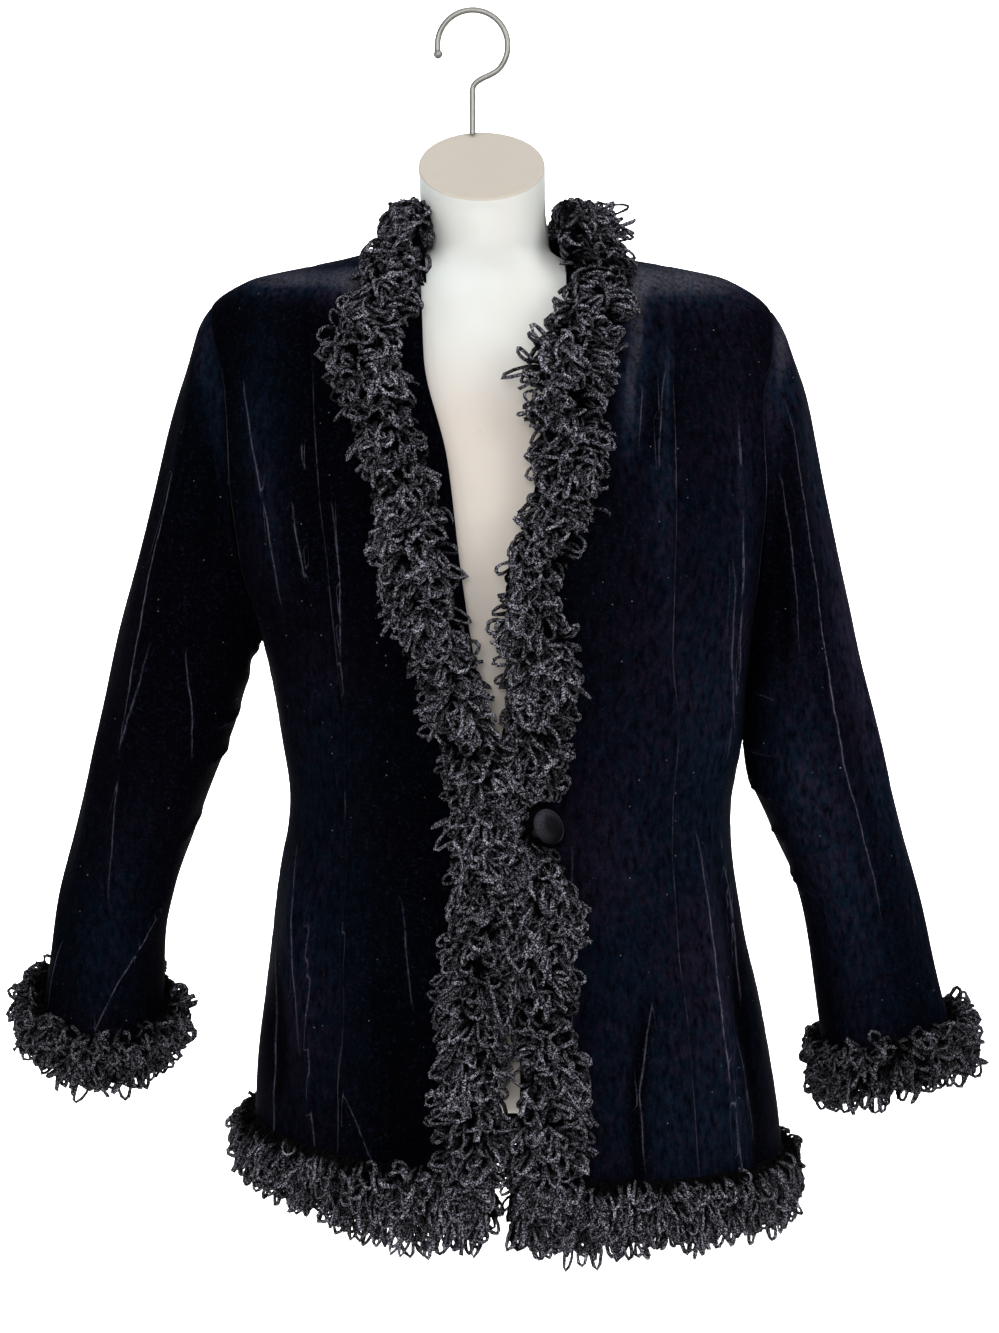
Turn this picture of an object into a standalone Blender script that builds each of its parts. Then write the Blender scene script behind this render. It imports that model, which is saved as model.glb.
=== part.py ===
"""Velvet blazer with looped-yarn trim, hung on a limbless torso form with a wire hook.

Metres, +Z up. The front faces -Y and the wearer's left side is +X.
The origin is the inside crown of the hook, where a rail or peg carries it.
"""

import bisect
import math

import bmesh
import bpy
from mathutils import Vector

# Driving dimensions of the garment
CLOTH = 0.002  # velvet with its lining, as one wall
SEAM = 0.0004  # gap between neighbouring pieces
HEM_Z = -0.848
UNDERARM_Z = -0.468
SHOULDER_Z = -0.218  # top of the armhole
NECK_Z = -0.170  # where neckline and shoulder seam meet
BACK_NECK_Z = -0.190
BACK_NECK_HALF = 0.058
MID_Y = -0.020  # plane of the side seams
FULLNESS = 2.3  # exponent of the body's sections: 2 is an ellipse, more is squarer
ARMHOLE_DEPTH = 0.062  # half of the armhole, front to back
SLEEVE_SIDES = 16  # facets round a sleeve; the armhole's rows match them
SKIRT_ROWS = 9  # facets from hem to underarm
CUFF_DROP = {"right": 0.022, "left": 0.002}  # how far each cuff's front hangs below its middle

# Sections of the body, from the hem up. The garment hangs lower on the wearer's left,
# by the tilt, and its front hangs lower than its sides
BODY_COLUMNS = ("z", "half_width", "front", "back", "centre", "tilt", "front_drop")
BODY = (
    (-0.860, 0.1990, 0.136, 0.129, 0.0350, 0.082, 0.016),
    (-0.793, 0.1935, 0.129, 0.120, 0.0325, 0.055, 0.008),
    (-0.733, 0.1862, 0.122, 0.110, 0.0307, 0.034, 0.002),
    (-0.664, 0.1737, 0.112, 0.098, 0.0277, 0.027, 0.0),
    (-0.585, 0.1640, 0.105, 0.088, 0.0275, 0.027, 0.0),
    (-0.529, 0.1725, 0.110, 0.093, 0.0285, 0.027, 0.0),
    (-0.468, 0.17975, 0.117, 0.100, 0.02375, 0.027, 0.0),
    (-0.400, 0.2060, 0.120, 0.104, 0.0200, 0.027, 0.0),
    (-0.330, 0.2210, 0.111, 0.102, 0.0180, 0.025, 0.0),
    (-0.260, 0.2200, 0.094, 0.095, 0.0150, 0.021, 0.0),
    (-0.218, 0.2050, 0.081, 0.085, 0.0140, 0.007, 0.0),
    (-0.197, 0.1750, 0.070, 0.078, 0.0120, -0.002, 0.0),
    (-0.189, 0.1410, 0.0652, 0.0743, 0.0120, -0.002, 0.0),
    (-0.181, 0.1000, 0.0600, 0.0698, 0.0120, 0.004, 0.0),
    (-0.168, 0.0580, 0.050, 0.062, 0.0120, 0.008, 0.0),
)

# The two front edges, the trim's middle line from each edge, and the princess seams
FRONT_COLUMNS = ("z", "right_edge", "left_edge", "right_trim", "left_trim", "princess")
FRONT = (
    (-0.860, 0.0135, 0.0240, 0.018, 0.028, 0.134),
    (-0.760, 0.0185, 0.0345, 0.018, 0.024, 0.128),
    (-0.680, 0.022, 0.031, 0.018, 0.018, 0.123),
    (-0.610, 0.029, 0.0315, 0.017, 0.018, 0.119),
    (-0.570, 0.028, 0.0305, 0.016, 0.018, 0.119),
    (-0.530, 0.019, 0.029, 0.020, 0.018, 0.120),
    (-0.480, 0.004, 0.028, 0.024, 0.018, 0.121),
    (-0.410, -0.007, 0.032, 0.037, 0.015, 0.125),
    (-0.330, -0.017, 0.048, 0.038, 0.017, 0.129),
    (-0.260, -0.0335, 0.057, 0.040, 0.017, 0.131),
    (-0.200, -0.0375, 0.070, 0.028, 0.020, 0.132),
    (-0.168, -0.0395, 0.070, 0.020, 0.020, 0.132),
)

# Sleeve sections: where each crosses the outer and inner outline, and its half depth
SLEEVE_COLUMNS = ("outer_x", "outer_z", "inner_x", "inner_z", "half_depth", "mid_y")
SLEEVES = {
    "right": (
        (-0.191, -0.2125, -0.156, -0.4630, 0.062, -0.020),
        (-0.203, -0.2340, -0.159, -0.4680, 0.062, -0.020),
        (-0.214, -0.2730, -0.162, -0.4740, 0.062, -0.020),
        (-0.230, -0.3320, -0.165, -0.4830, 0.061, -0.021),
        (-0.248, -0.4020, -0.168, -0.4950, 0.060, -0.022),
        (-0.265, -0.4690, -0.173, -0.5150, 0.058, -0.024),
        (-0.278, -0.5280, -0.184, -0.5430, 0.056, -0.026),
        (-0.291, -0.5840, -0.204, -0.5960, 0.052, -0.028),
        (-0.303, -0.6320, -0.221, -0.6450, 0.048, -0.030),
        (-0.312, -0.6760, -0.229, -0.6870, 0.045, -0.031),
        (-0.322, -0.7420, -0.233, -0.7540, 0.044, -0.032),
    ),
    "left": (
        (0.219, -0.2235, 0.200, -0.4728, 0.062, -0.020),
        (0.231, -0.2380, 0.2040, -0.4770, 0.062, -0.020),
        (0.242, -0.2690, 0.2045, -0.4830, 0.062, -0.020),
        (0.254, -0.3210, 0.2045, -0.4910, 0.061, -0.021),
        (0.269, -0.3910, 0.2040, -0.5060, 0.060, -0.022),
        (0.283, -0.4580, 0.2025, -0.5320, 0.058, -0.024),
        (0.297, -0.5170, 0.2045, -0.5590, 0.056, -0.026),
        (0.313, -0.5800, 0.2210, -0.5985, 0.052, -0.028),
        (0.3265, -0.6320, 0.2385, -0.6390, 0.048, -0.030),
        (0.3410, -0.6890, 0.2505, -0.6890, 0.045, -0.031),
        (0.3600, -0.7620, 0.2655, -0.7930, 0.044, -0.032),
    ),
}

# The largest folds: a line on the front or back, its half width, and its height (minus is a trough)
FOLD_COLUMNS = ("face", "top_x", "top_z", "low_x", "low_z", "half_width", "height")
FOLDS = (
    ("front", 0.160, -0.590, 0.196, -0.850, 0.012, 0.0055),
    ("front", 0.185, -0.620, 0.212, -0.830, 0.010, -0.0035),
    ("front", 0.126, -0.690, 0.118, -0.850, 0.011, -0.0040),
    ("front", 0.188, -0.285, 0.176, -0.500, 0.012, 0.0040),
    ("front", 0.110, -0.250, 0.118, -0.440, 0.012, -0.0030),
    ("front", -0.160, -0.290, -0.136, -0.500, 0.012, 0.0040),
    ("front", -0.120, -0.620, -0.108, -0.850, 0.012, 0.0045),
    ("front", -0.146, -0.600, -0.150, -0.830, 0.010, -0.0030),
    ("front", -0.060, -0.700, -0.040, -0.850, 0.013, -0.0030),
    ("back", -0.090, -0.600, -0.120, -0.850, 0.014, 0.0050),
    ("back", -0.020, -0.640, -0.010, -0.850, 0.014, -0.0045),
    ("back", 0.110, -0.600, 0.150, -0.850, 0.014, 0.0050),
    ("back", 0.080, -0.240, 0.085, -0.460, 0.014, 0.0035),
    ("back", -0.070, -0.240, -0.065, -0.460, 0.014, 0.0035),
)

# Stand collar round the neck: degrees from the centre back, radius and base height
COLLAR_COLUMNS = ("degrees", "radius", "base_z")
COLLAR = (
    (-144, 0.0815, -0.2030),
    (-137, 0.0725, -0.1830),
    (-124, 0.0605, -0.1730),
    (-90, 0.0645, -0.1725),
    (-58, 0.0675, -0.1725),
    (-40, 0.0765, -0.1800),
    (-24, 0.0759, -0.1870),
    (0, 0.0724, -0.1905),
    (24, 0.0742, -0.1870),
    (40, 0.0732, -0.1800),
    (58, 0.0636, -0.1725),
    (90, 0.0605, -0.1725),
    (118, 0.0605, -0.1730),
    (133, 0.0745, -0.1830),
    (141, 0.0875, -0.2030),
)
COLLAR_AXIS = (0.014, -0.020)
COLLAR_HEIGHT = 0.030
COLLAR_TILT = 0.012
COLLAR_FLARE = 0.007
COLLAR_ROWS = (0.0, 0.5, 1.0)

# Sections of the torso form, from its base up to the neck
FORM_COLUMNS = ("z", "half_width", "front", "back", "centre", "mid_y")
FORM = (
    (-0.806, 0.090, 0.055, 0.050, 0.031, -0.020),
    (-0.797, 0.138, 0.088, 0.082, 0.031, -0.020),
    (-0.775, 0.162, 0.108, 0.096, 0.031, -0.020),
    (-0.733, 0.166, 0.112, 0.098, 0.030, -0.020),
    (-0.664, 0.156, 0.102, 0.088, 0.027, -0.020),
    (-0.585, 0.146, 0.094, 0.078, 0.027, -0.020),
    (-0.529, 0.150, 0.098, 0.082, 0.025, -0.020),
    (-0.468, 0.158, 0.105, 0.089, 0.022, -0.020),
    (-0.400, 0.166, 0.108, 0.093, 0.020, -0.020),
    (-0.330, 0.172, 0.100, 0.091, 0.018, -0.020),
    (-0.260, 0.170, 0.084, 0.084, 0.015, -0.020),
    (-0.228, 0.160, 0.073, 0.076, 0.014, -0.020),
    (-0.208, 0.138, 0.064, 0.068, 0.012, -0.022),
    (-0.197, 0.108, 0.058, 0.061, 0.011, -0.025),
    (-0.188, 0.066, 0.053, 0.055, 0.011, -0.030),
    (-0.174, 0.0450, 0.049, 0.050, 0.011, -0.036),
    (-0.150, 0.0455, 0.047, 0.047, 0.008, -0.039),
)
FORM_FULLNESS = 2.1
NECK_CUT_Z = -0.1145  # the slanted neck cut, at the neck's middle
NECK_CUT_SLOPE = 0.61
NECK_CUT_CENTRE = (0.007, -0.040)
NECK_CUT_HALF = (0.046, 0.047)

# Wire hook: a stem, a bend to one side and a round crook
WIRE = 0.0046
CROOK_RADIUS = 0.026
CROOK_OPEN_DEG = -8  # where the crook ends, below the horizontal
HOOK_BALL = 0.0068
STEM_TOP_Z = -0.056
STEM_FOOT_Z = -0.0884

# Loop trim
TAPE_HALF = 0.010  # half width of the woven tape that the loops grow from
TAPE = 0.0022
LOOP_YARN = 0.0032  # half thickness of one lock of yarn
LOOP_REACH = 0.030
LOOP_STEPS = 5
HEM_TAPE_RISE = 0.014  # the tape's middle above the hem
CUFF_TAPE_ALONG = 0.968  # share of the sleeve's length

# Covered button, on the wearer's left front
BUTTON_RADIUS = 0.0130
BUTTON_THICK = 0.0085
BUTTON_Z = -0.593
BUTTON_INSET = 0.006  # from the tape's middle towards the front edge
BUTTON_TURN_DEG = 43
BUTTON_RISE = 0.43  # how far the turned face looks up
BUTTON_STAND = 0.0180  # from the tape's face to the button's middle
SHANK_RADIUS = 0.003
SHANK_FOOT = 0.0031  # from the tape's face, clear of it on the leaning side

COLOURS = {
    "velvet": ((0.006, 0.006, 0.009, 1), 0.85, 0.0),
    "yarn": ((0.020, 0.020, 0.023, 1), 0.80, 0.0),
    "plastic": ((0.80, 0.79, 0.76, 1), 0.45, 0.0),
    "steel": ((0.55, 0.54, 0.52, 1), 0.30, 1.0),
}
SIDES = {"right": -1, "left": 1}


def smooth_value(rows, column, key):
    """Value of a column on a monotone cubic through the rows, which rise in their first column."""
    keys = [row[0] for row in rows]
    values = [row[column] for row in rows]
    if key <= keys[0]:
        return values[0]
    if key >= keys[-1]:
        return values[-1]
    i = min(max(bisect.bisect_right(keys, key) - 1, 0), len(keys) - 2)
    steps = [keys[k + 1] - keys[k] for k in range(len(keys) - 1)]
    rises = [(values[k + 1] - values[k]) / steps[k] for k in range(len(steps))]

    def slope(k):
        if k == 0:
            return rises[0]
        if k == len(rises):
            return rises[-1]
        if rises[k - 1] * rises[k] <= 0:
            return 0.0
        return 2 * rises[k - 1] * rises[k] / (rises[k - 1] + rises[k])

    t = (key - keys[i]) / steps[i]
    start, end = slope(i) * steps[i], slope(i + 1) * steps[i]
    rise = values[i + 1] - values[i]
    return values[i] + t * (start + t * (3 * rise - 2 * start - end + t * (start + end - 2 * rise)))


def looked_up(columns, rows):
    """A function from a key and a column's name to the smooth value."""
    places = {name: i for i, name in enumerate(columns)}
    return lambda name, key: smooth_value(rows, places[name], key)


body = looked_up(BODY_COLUMNS, BODY)
front = looked_up(FRONT_COLUMNS, FRONT)
form_size = looked_up(FORM_COLUMNS, FORM)
collar_size = looked_up(COLLAR_COLUMNS, COLLAR)
sleeve_size = {
    side: looked_up(("step", *SLEEVE_COLUMNS), [(i, *row) for i, row in enumerate(rows)])
    for side, rows in SLEEVES.items()
}


def bell(distance, half_width):
    return math.exp(-((distance / half_width) ** 2))


def fold_height(angle, x, z):
    """How far the cloth stands out of its plain section, from the table of folds."""
    face = "front" if math.cos(angle) > 0 else "back"
    total = 0.0
    for row in FOLDS:
        fold = dict(zip(FOLD_COLUMNS, row))
        share = (fold["top_z"] - z) / (fold["top_z"] - fold["low_z"])
        if fold["face"] != face or not 0 < share < 1:
            continue
        line_x = fold["top_x"] + share * (fold["low_x"] - fold["top_x"])
        total += fold["height"] * math.sin(math.pi * share) ** 0.7 * bell(x - line_x, fold["half_width"])
    return total


def section_radius(angle, half_width, depth, fullness):
    across = (abs(math.sin(angle)) / half_width) ** fullness
    along = (abs(math.cos(angle)) / depth) ** fullness
    return (across + along) ** (-1 / fullness)


def body_point(angle, z):
    """Outer face of the body. Angle 0 is the centre front, 90 degrees the wearer's left side."""
    depth = body("front" if math.cos(angle) > 0 else "back", z)
    radius = section_radius(angle, body("half_width", z), depth, FULLNESS)
    plain_x = body("centre", z) + radius * math.sin(angle)
    radius += fold_height(angle, plain_x, z)
    across = radius * math.sin(angle)
    x = body("centre", z) + across
    drop = body("tilt", z) * across + body("front_drop", z) * max(0.0, math.cos(angle))
    return Vector((x, MID_Y - radius * math.cos(angle), z - drop))


def outward(surface, u, v, du, dv):
    """Unit normal of a surface function. It points out where u runs left to right and v up."""
    along_u = surface(u + du, v) - surface(u - du, v)
    along_v = surface(u, v + dv) - surface(u, v - dv)
    return along_u.cross(along_v).normalized()


def body_normal(angle, z):
    return outward(body_point, angle, min(max(z, HEM_Z), NECK_Z - 0.001), 0.02, 0.0015)


def solve(function, low, high):
    """The place between low and high where a rising function crosses zero."""
    for _ in range(40):
        middle = (low + high) / 2
        if function(middle) < 0:
            low = middle
        else:
            high = middle
    return (low + high) / 2


def front_angle(x, z):
    """Angle on the front where the section at this height reaches x."""

    def beyond(angle):
        radius = section_radius(angle, body("half_width", z), body("front", z), FULLNESS)
        return body("centre", z) + radius * math.sin(angle) - x

    return solve(beyond, -math.pi / 2, math.pi / 2)


def armhole_half(z, margin):
    """Half of the armhole's opening, front to back, at a height."""
    middle, half = (SHOULDER_Z + UNDERARM_Z) / 2, (SHOULDER_Z - UNDERARM_Z) / 2 + margin
    share = (z - middle) / half
    return (ARMHOLE_DEPTH + margin) * math.sqrt(max(0.0, 1 - share * share))


def side_angle(z, face):
    """Where a panel ends at the side: side seam, armhole or shoulder seam, as a positive angle."""
    opening = armhole_half(z, SEAM)
    quarter = math.pi / 2
    depth = body(face, z)
    if opening <= 0 or opening >= depth:
        return quarter

    def short_of(angle):
        return opening - section_radius(angle, body("half_width", z), depth, FULLNESS) * abs(math.cos(angle))

    if face == "front":
        return solve(short_of, 0.0, quarter)
    return solve(lambda angle: -short_of(angle), quarter, math.pi)


def spaced(low, high, count):
    """Evenly spaced values from low, without high."""
    return [low + (high - low) * i / count for i in range(count)]


def lower_heights():
    """Rows of every body panel from the hem to the armhole's top, close together at the armhole's ends."""
    low, high = UNDERARM_Z - SEAM, SHOULDER_Z + SEAM
    middle, half = (low + high) / 2, (high - low) / 2
    armhole_rows = SLEEVE_SIDES // 2
    rows = spaced(HEM_Z, low, SKIRT_ROWS)
    return rows + [middle - half * math.cos(math.pi * i / armhole_rows) for i in range(armhole_rows)] + [high]


def shoulder_meeting():
    """Height at which the princess seam runs into the shoulder seam."""
    return solve(lambda z: front("princess", z) - body("half_width", z), SHOULDER_Z, NECK_Z)


def front_heights():
    meeting = shoulder_meeting()
    shoulder = spaced(SHOULDER_Z + SEAM, meeting - 0.001, 3)[1:] + [meeting - 0.001]
    return lower_heights() + shoulder + spaced(meeting, NECK_Z, 3) + [NECK_Z]


def back_heights():
    rise = NECK_Z - BACK_NECK_Z
    scoop = [BACK_NECK_Z + rise * share for share in (0, 0.06, 0.22, 0.5, 1)]
    return lower_heights() + spaced(SHOULDER_Z + SEAM, BACK_NECK_Z, 3)[1:] + scoop


def lain_on(rows, point_at, z):
    """A point of a panel's flat facets: between two of its rows it runs straight."""
    i = min(max(bisect.bisect_right(rows, z) - 1, 0), len(rows) - 2)
    share = (z - rows[i]) / (rows[i + 1] - rows[i])
    return point_at(rows[i]) * (1 - share) + point_at(rows[i + 1]) * share


def panel_points(first_angle, last_angle, rows, columns):
    """Outer and inner points of a panel between two seams, rows from the hem up, first to last angle."""
    outer, inner = [], []
    for z in rows:
        start, end = first_angle(z), last_angle(z)
        half_gap = SEAM / 2 / section_radius(start, body("half_width", z), body("front", z), FULLNESS)
        start, end = start + half_gap, end - half_gap
        angles = [start + (end - start) * i / columns for i in range(columns + 1)]
        outer.append([body_point(a, z) for a in angles])
        inner.append([body_point(a, z) - CLOTH * body_normal(a, z) for a in angles])
    return outer, inner


def finished(name, mesh_builder, material):
    """Turns a bmesh into a named object with its material."""
    mesh = bpy.data.meshes.new(name)
    bmesh.ops.recalc_face_normals(mesh_builder, faces=mesh_builder.faces[:])
    mesh_builder.to_mesh(mesh)
    mesh_builder.free()
    mesh.materials.append(material)
    mesh.shade_smooth()
    mesh.set_sharp_from_angle(angle=math.radians(40))
    thing = bpy.data.objects.new(name, mesh)
    bpy.context.scene.collection.objects.link(thing)
    return thing


def wall(name, outer, inner, material, ring=False):
    """A cloth wall between two grids of points. A ring closes on itself along its rows."""
    shape = bmesh.new()
    faces = [[[shape.verts.new(p) for p in row] for row in grid] for grid in (outer, inner)]
    count = len(outer[0])
    last = count if ring else count - 1
    for grid in faces:
        for low, high in zip(grid, grid[1:]):
            for i in range(last):
                j = (i + 1) % count
                shape.faces.new((low[i], low[j], high[j], high[i]))
    for edge in (0, -1):
        for i in range(last):
            j = (i + 1) % count
            shape.faces.new((faces[0][edge][i], faces[0][edge][j], faces[1][edge][j], faces[1][edge][i]))
    if not ring:
        for edge in (0, -1):
            for k in range(len(outer) - 1):
                here, above = k, k + 1
                shape.faces.new(
                    (faces[0][here][edge], faces[0][above][edge], faces[1][above][edge], faces[1][here][edge])
                )
    return finished(name, shape, material)


def princess_angle(side, z):
    """The princess seam, or the shoulder seam above the place where they meet."""
    reach = min(front("princess", z), body("half_width", z))
    return abs(front_angle(body("centre", z) + SIDES[side] * reach, z))


def back_neck_angle(z):
    """Centre back below the neckline, and the neckline's own edge above, as a positive angle."""
    if z <= BACK_NECK_Z:
        return math.pi
    share = (NECK_Z - z) / (NECK_Z - BACK_NECK_Z)
    reach = min(BACK_NECK_HALF * math.sqrt(max(0.0, 1 - share * share)), 0.98 * body("half_width", z))

    def inside(angle):
        radius = section_radius(angle, body("half_width", z), body("back", z), FULLNESS)
        return reach - radius * math.sin(angle)

    return solve(inside, math.pi / 2, math.pi)


def add_panel(name, side, near, far, rows, columns, material):
    """A panel between two positive angles, mirrored for the wearer's right side."""
    if SIDES[side] > 0:
        outer, inner = panel_points(near, far, rows, columns)
    else:
        outer, inner = panel_points(lambda z: -far(z), lambda z: -near(z), rows, columns)
    wall(name, outer, inner, material)


def add_body(side, velvet):
    rows = front_heights()
    side_rows = [z for z in rows if z < shoulder_meeting() - 0.0005]

    def edge(z):
        return SIDES[side] * front_angle(front(side + "_edge", z), z)

    def centre_end(z):
        return min(princess_angle(side, z), side_angle(z, "front"))

    add_panel(f"front_centre_{side}", side, edge, centre_end, rows, 6, velvet)
    add_panel(
        f"front_side_{side}",
        side,
        lambda z: princess_angle(side, z),
        lambda z: side_angle(z, "front"),
        side_rows,
        7,
        velvet,
    )
    add_panel(
        f"back_{side}", side, lambda z: side_angle(z, "back"), back_neck_angle, back_heights(), 9, velvet
    )


def sleeve_ring(side, step, turn):
    """A plain sleeve section: turn 0 is the outer outline, 90 degrees the front, 180 the inner."""
    size = sleeve_size[side]
    outer = Vector((size("outer_x", step), 0, size("outer_z", step)))
    inner = Vector((size("inner_x", step), 0, size("inner_z", step)))
    share = step / (len(SLEEVES[side]) - 1)
    across, forward = math.cos(turn), math.sin(turn)
    point = (outer + inner) / 2 + (outer - inner) / 2 * across
    point.y = size("mid_y", step) - size("half_depth", step) * forward
    point.z -= CUFF_DROP[side] * share**2 * forward
    return point


def armhole_point(side, turn):
    """The seam where the sleeve meets the body."""
    middle, half = (SHOULDER_Z + UNDERARM_Z) / 2, (SHOULDER_Z - UNDERARM_Z) / 2
    z = middle + half * math.cos(turn)
    offset = ARMHOLE_DEPTH * math.sin(turn)
    depth = body("front" if offset > 0 else "back", z)
    across = body("half_width", z) * (1 - (abs(offset) / depth) ** FULLNESS) ** (1 / FULLNESS)
    across *= SIDES[side]
    x = body("centre", z) + across + SIDES[side] * SEAM
    return Vector((x, MID_Y - offset, z - body("tilt", z) * across))


def sleeve_point(side, along, turn):
    """Outer face of a sleeve, from the armhole (0) to the cuff (1)."""
    step = along * (len(SLEEVES[side]) - 1)
    point = sleeve_ring(side, step, turn)
    if step < 2:
        fade = (1 - step / 2) ** 2
        point += (armhole_point(side, turn) - sleeve_ring(side, 0, turn)) * fade
    return point


def sleeve_normal(side, along, turn):
    normal = outward(
        lambda u, v: sleeve_point(side, v, u), turn, min(max(along, 0.004), 0.996), 0.03, 0.004
    )
    return normal * SIDES[side]


def add_sleeve(side, velvet):
    rings = 18
    turns = [2 * math.pi * i / SLEEVE_SIDES for i in range(SLEEVE_SIDES)]
    outer, inner = [], []
    for k in range(rings + 1):
        along = (k / rings) ** 1.15
        outer.append([sleeve_point(side, along, t) for t in turns])
        inner.append([sleeve_point(side, along, t) - CLOTH * sleeve_normal(side, along, t) for t in turns])
    wall(f"sleeve_{side}", outer, inner, velvet, ring=True)


def collar_point(angle, rise):
    """Outer face of the stand collar: angle in radians from the centre back, rise from 0 to 1."""
    degrees = math.degrees(angle)
    radius = collar_size("radius", degrees) + COLLAR_FLARE * rise**2
    base = collar_size("base_z", degrees)
    across = radius * math.sin(angle)
    height = base + COLLAR_HEIGHT * rise - COLLAR_TILT * across
    return Vector((COLLAR_AXIS[0] + across, COLLAR_AXIS[1] + radius * math.cos(angle), height))


def collar_normal(angle, rise):
    return -outward(collar_point, angle, rise, 0.02, 0.02)


def collar_angles():
    first, last, columns = math.radians(COLLAR[0][0]), math.radians(COLLAR[-1][0]), 30
    return spaced(first, last, columns) + [last]


def add_collar(velvet):
    outer, inner = [], []
    for rise in COLLAR_ROWS:
        outer.append([collar_point(a, rise) for a in collar_angles()])
        inner.append([collar_point(a, rise) - CLOTH * collar_normal(a, rise) for a in collar_angles()])
    wall("collar", outer, inner, velvet)


def tube_between(shape, start, end, path, half):
    """Joins two root faces of a tape by a four-sided strand along a path."""
    previous = list(start.verts)
    target = list(end.verts)
    shape.faces.remove(start)
    shape.faces.remove(end)
    for k in range(1, len(path) - 1):
        run = (path[k + 1] - path[k - 1]).normalized()
        centre = sum((v.co for v in previous), Vector()) / 4
        ring = []
        for vert in previous:
            spoke = vert.co - centre
            spoke -= run * spoke.dot(run)
            ring.append(shape.verts.new(path[k] + spoke.normalized() * half))
        for i in range(4):
            j = (i + 1) % 4
            shape.faces.new((previous[i], previous[j], ring[j], ring[i]))
        previous = ring
    orders = [target[i:] + target[:i] for i in range(4)]
    orders += [list(reversed(order)) for order in orders]
    closest = min(orders, key=lambda order: sum((a.co - b.co).length for a, b in zip(previous, order)))
    for i in range(4):
        j = (i + 1) % 4
        shape.faces.new((previous[i], previous[j], closest[j], closest[i]))


def loop_path(start, end, lean):
    """An arched strand from one root to the other, rounder at its tip."""
    middle = (start + end) / 2
    path = []
    for k in range(LOOP_STEPS + 1):
        turn = math.pi * k / LOOP_STEPS
        swell = 1 + 0.5 * math.sin(turn)
        path.append(middle + (start - middle) * math.cos(turn) * swell + lean * math.sin(turn))
    return path


def nowhere(share):
    return False


def add_trim(name, surface, normal, loops, leans, material, on_round=False, ring=False, skip=nowhere):
    """A tape on a panel with two rows of standing loops.

    surface(share, across) gives the panel's outer point, across from -1 to 1 over the tape.
    normal(share) is the panel's normal there. Each pitch holds two roots and two gaps.
    leans holds, for the first and second row, how far a loop stands out, to its own side, and down.
    """
    pitches = loops // 2
    cuts = [(k + part) / pitches for k in range(pitches) for part in (0.0, 0.18, 0.5, 0.68)]
    if not ring:
        cuts.append(1.0)
    lift = SEAM * (4 if on_round else 1.5)  # a straight facet needs more room on a tight round
    shape = bmesh.new()
    columns = []
    for share in cuts:
        up = normal(share)
        low = [surface(share, across) + up * lift for across in (-1, 1)]
        high = [surface(share, across) + up * (lift + TAPE) for across in (-1, 0, 1)]
        columns.append([shape.verts.new(p) for p in (*low, *reversed(high))])
    tops = []
    count = len(columns)
    for k in range(count if ring else count - 1):
        here, beyond = columns[k], columns[(k + 1) % count]
        made = []
        for i in range(5):
            j = (i + 1) % 5
            made.append(shape.faces.new((here[i], here[j], beyond[j], beyond[i])))
        tops.append((made[3], made[2]))
    if not ring:
        shape.faces.new(columns[0])
        shape.faces.new(columns[-1])
    shape.normal_update()
    down = Vector((0, 0, -1))
    for k in range(pitches):
        for row, across, (out, aside, droop) in ((0, -1, leans[0]), (1, 1, leans[1])):
            first, second = (4 * k, 4 * k + 2) if row == 0 else (4 * k + 2, 4 * k + 4)
            if second >= len(tops) and not ring or skip(cuts[first]):
                continue
            roots = tops[first][row], tops[second % len(tops)][row]
            middle = cuts[first]
            side = (surface(middle, across) - surface(middle, 0)).normalized()
            up = normal(middle)
            lean = (up * out + side * aside + (down - up * down.dot(up)) * droop) * LOOP_REACH
            ends = [face.calc_center_median() for face in roots]
            tube_between(shape, *roots, loop_path(*ends, lean), LOOP_YARN)
    return finished(name, shape, material)


def add_front_trim(side, yarn):
    low, high = HEM_Z + 0.006, -0.199

    def height(share):
        return low + (high - low) * share

    rows = front_heights()

    def surface(share, across):
        def point_at(z):
            x = front(side + "_edge", z) + SIDES[side] * front(side + "_trim", z)
            return body_point(front_angle(x + across * SIDES[side] * TAPE_HALF, z), z)

        return lain_on(rows, point_at, height(share))

    def normal(share):
        z = height(share)
        x = front(side + "_edge", z) + SIDES[side] * front(side + "_trim", z)
        return body_normal(front_angle(x, z), z)

    def at_button(share):
        return side == "left" and abs(height(share + 0.012) - BUTTON_Z) < 0.034

    leans = (0.80, 0.30, 0.35), (0.70, 0.66, 0.35)
    add_trim(f"trim_front_{side}", surface, normal, 34, leans, yarn, skip=at_button)


def add_hem_trim(yarn):
    z = HEM_Z + HEM_TAPE_RISE
    clear = 0.014  # from the front trims

    def trim_end(side):
        reach = front(side + "_edge", z) + SIDES[side] * (front(side + "_trim", z) + TAPE_HALF + clear)
        return front_angle(reach, z)

    start, end = trim_end("left"), trim_end("right") + 2 * math.pi

    rows = lower_heights()

    def surface(share, across):
        angle = start + (end - start) * share
        return lain_on(rows, lambda row_z: body_point(angle, row_z), z + across * TAPE_HALF)

    def normal(share):
        return body_normal(start + (end - start) * share, z)

    leans = (0.35, 1.05, 0.10), (0.85, 0.25, 0.20)
    add_trim("trim_hem", surface, normal, 40, leans, yarn, on_round=True)


def add_cuff_trim(side, yarn):
    length = 0.58

    def surface(share, across):
        return sleeve_point(side, CUFF_TAPE_ALONG - across * TAPE_HALF / length, 2 * math.pi * share)

    def normal(share):
        return sleeve_normal(side, CUFF_TAPE_ALONG, 2 * math.pi * share)

    leans = (0.55, 1.00, 0.15), (0.90, 0.25, 0.35)
    add_trim(f"trim_cuff_{side}", surface, normal, 12, leans, yarn, on_round=True, ring=True)


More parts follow.
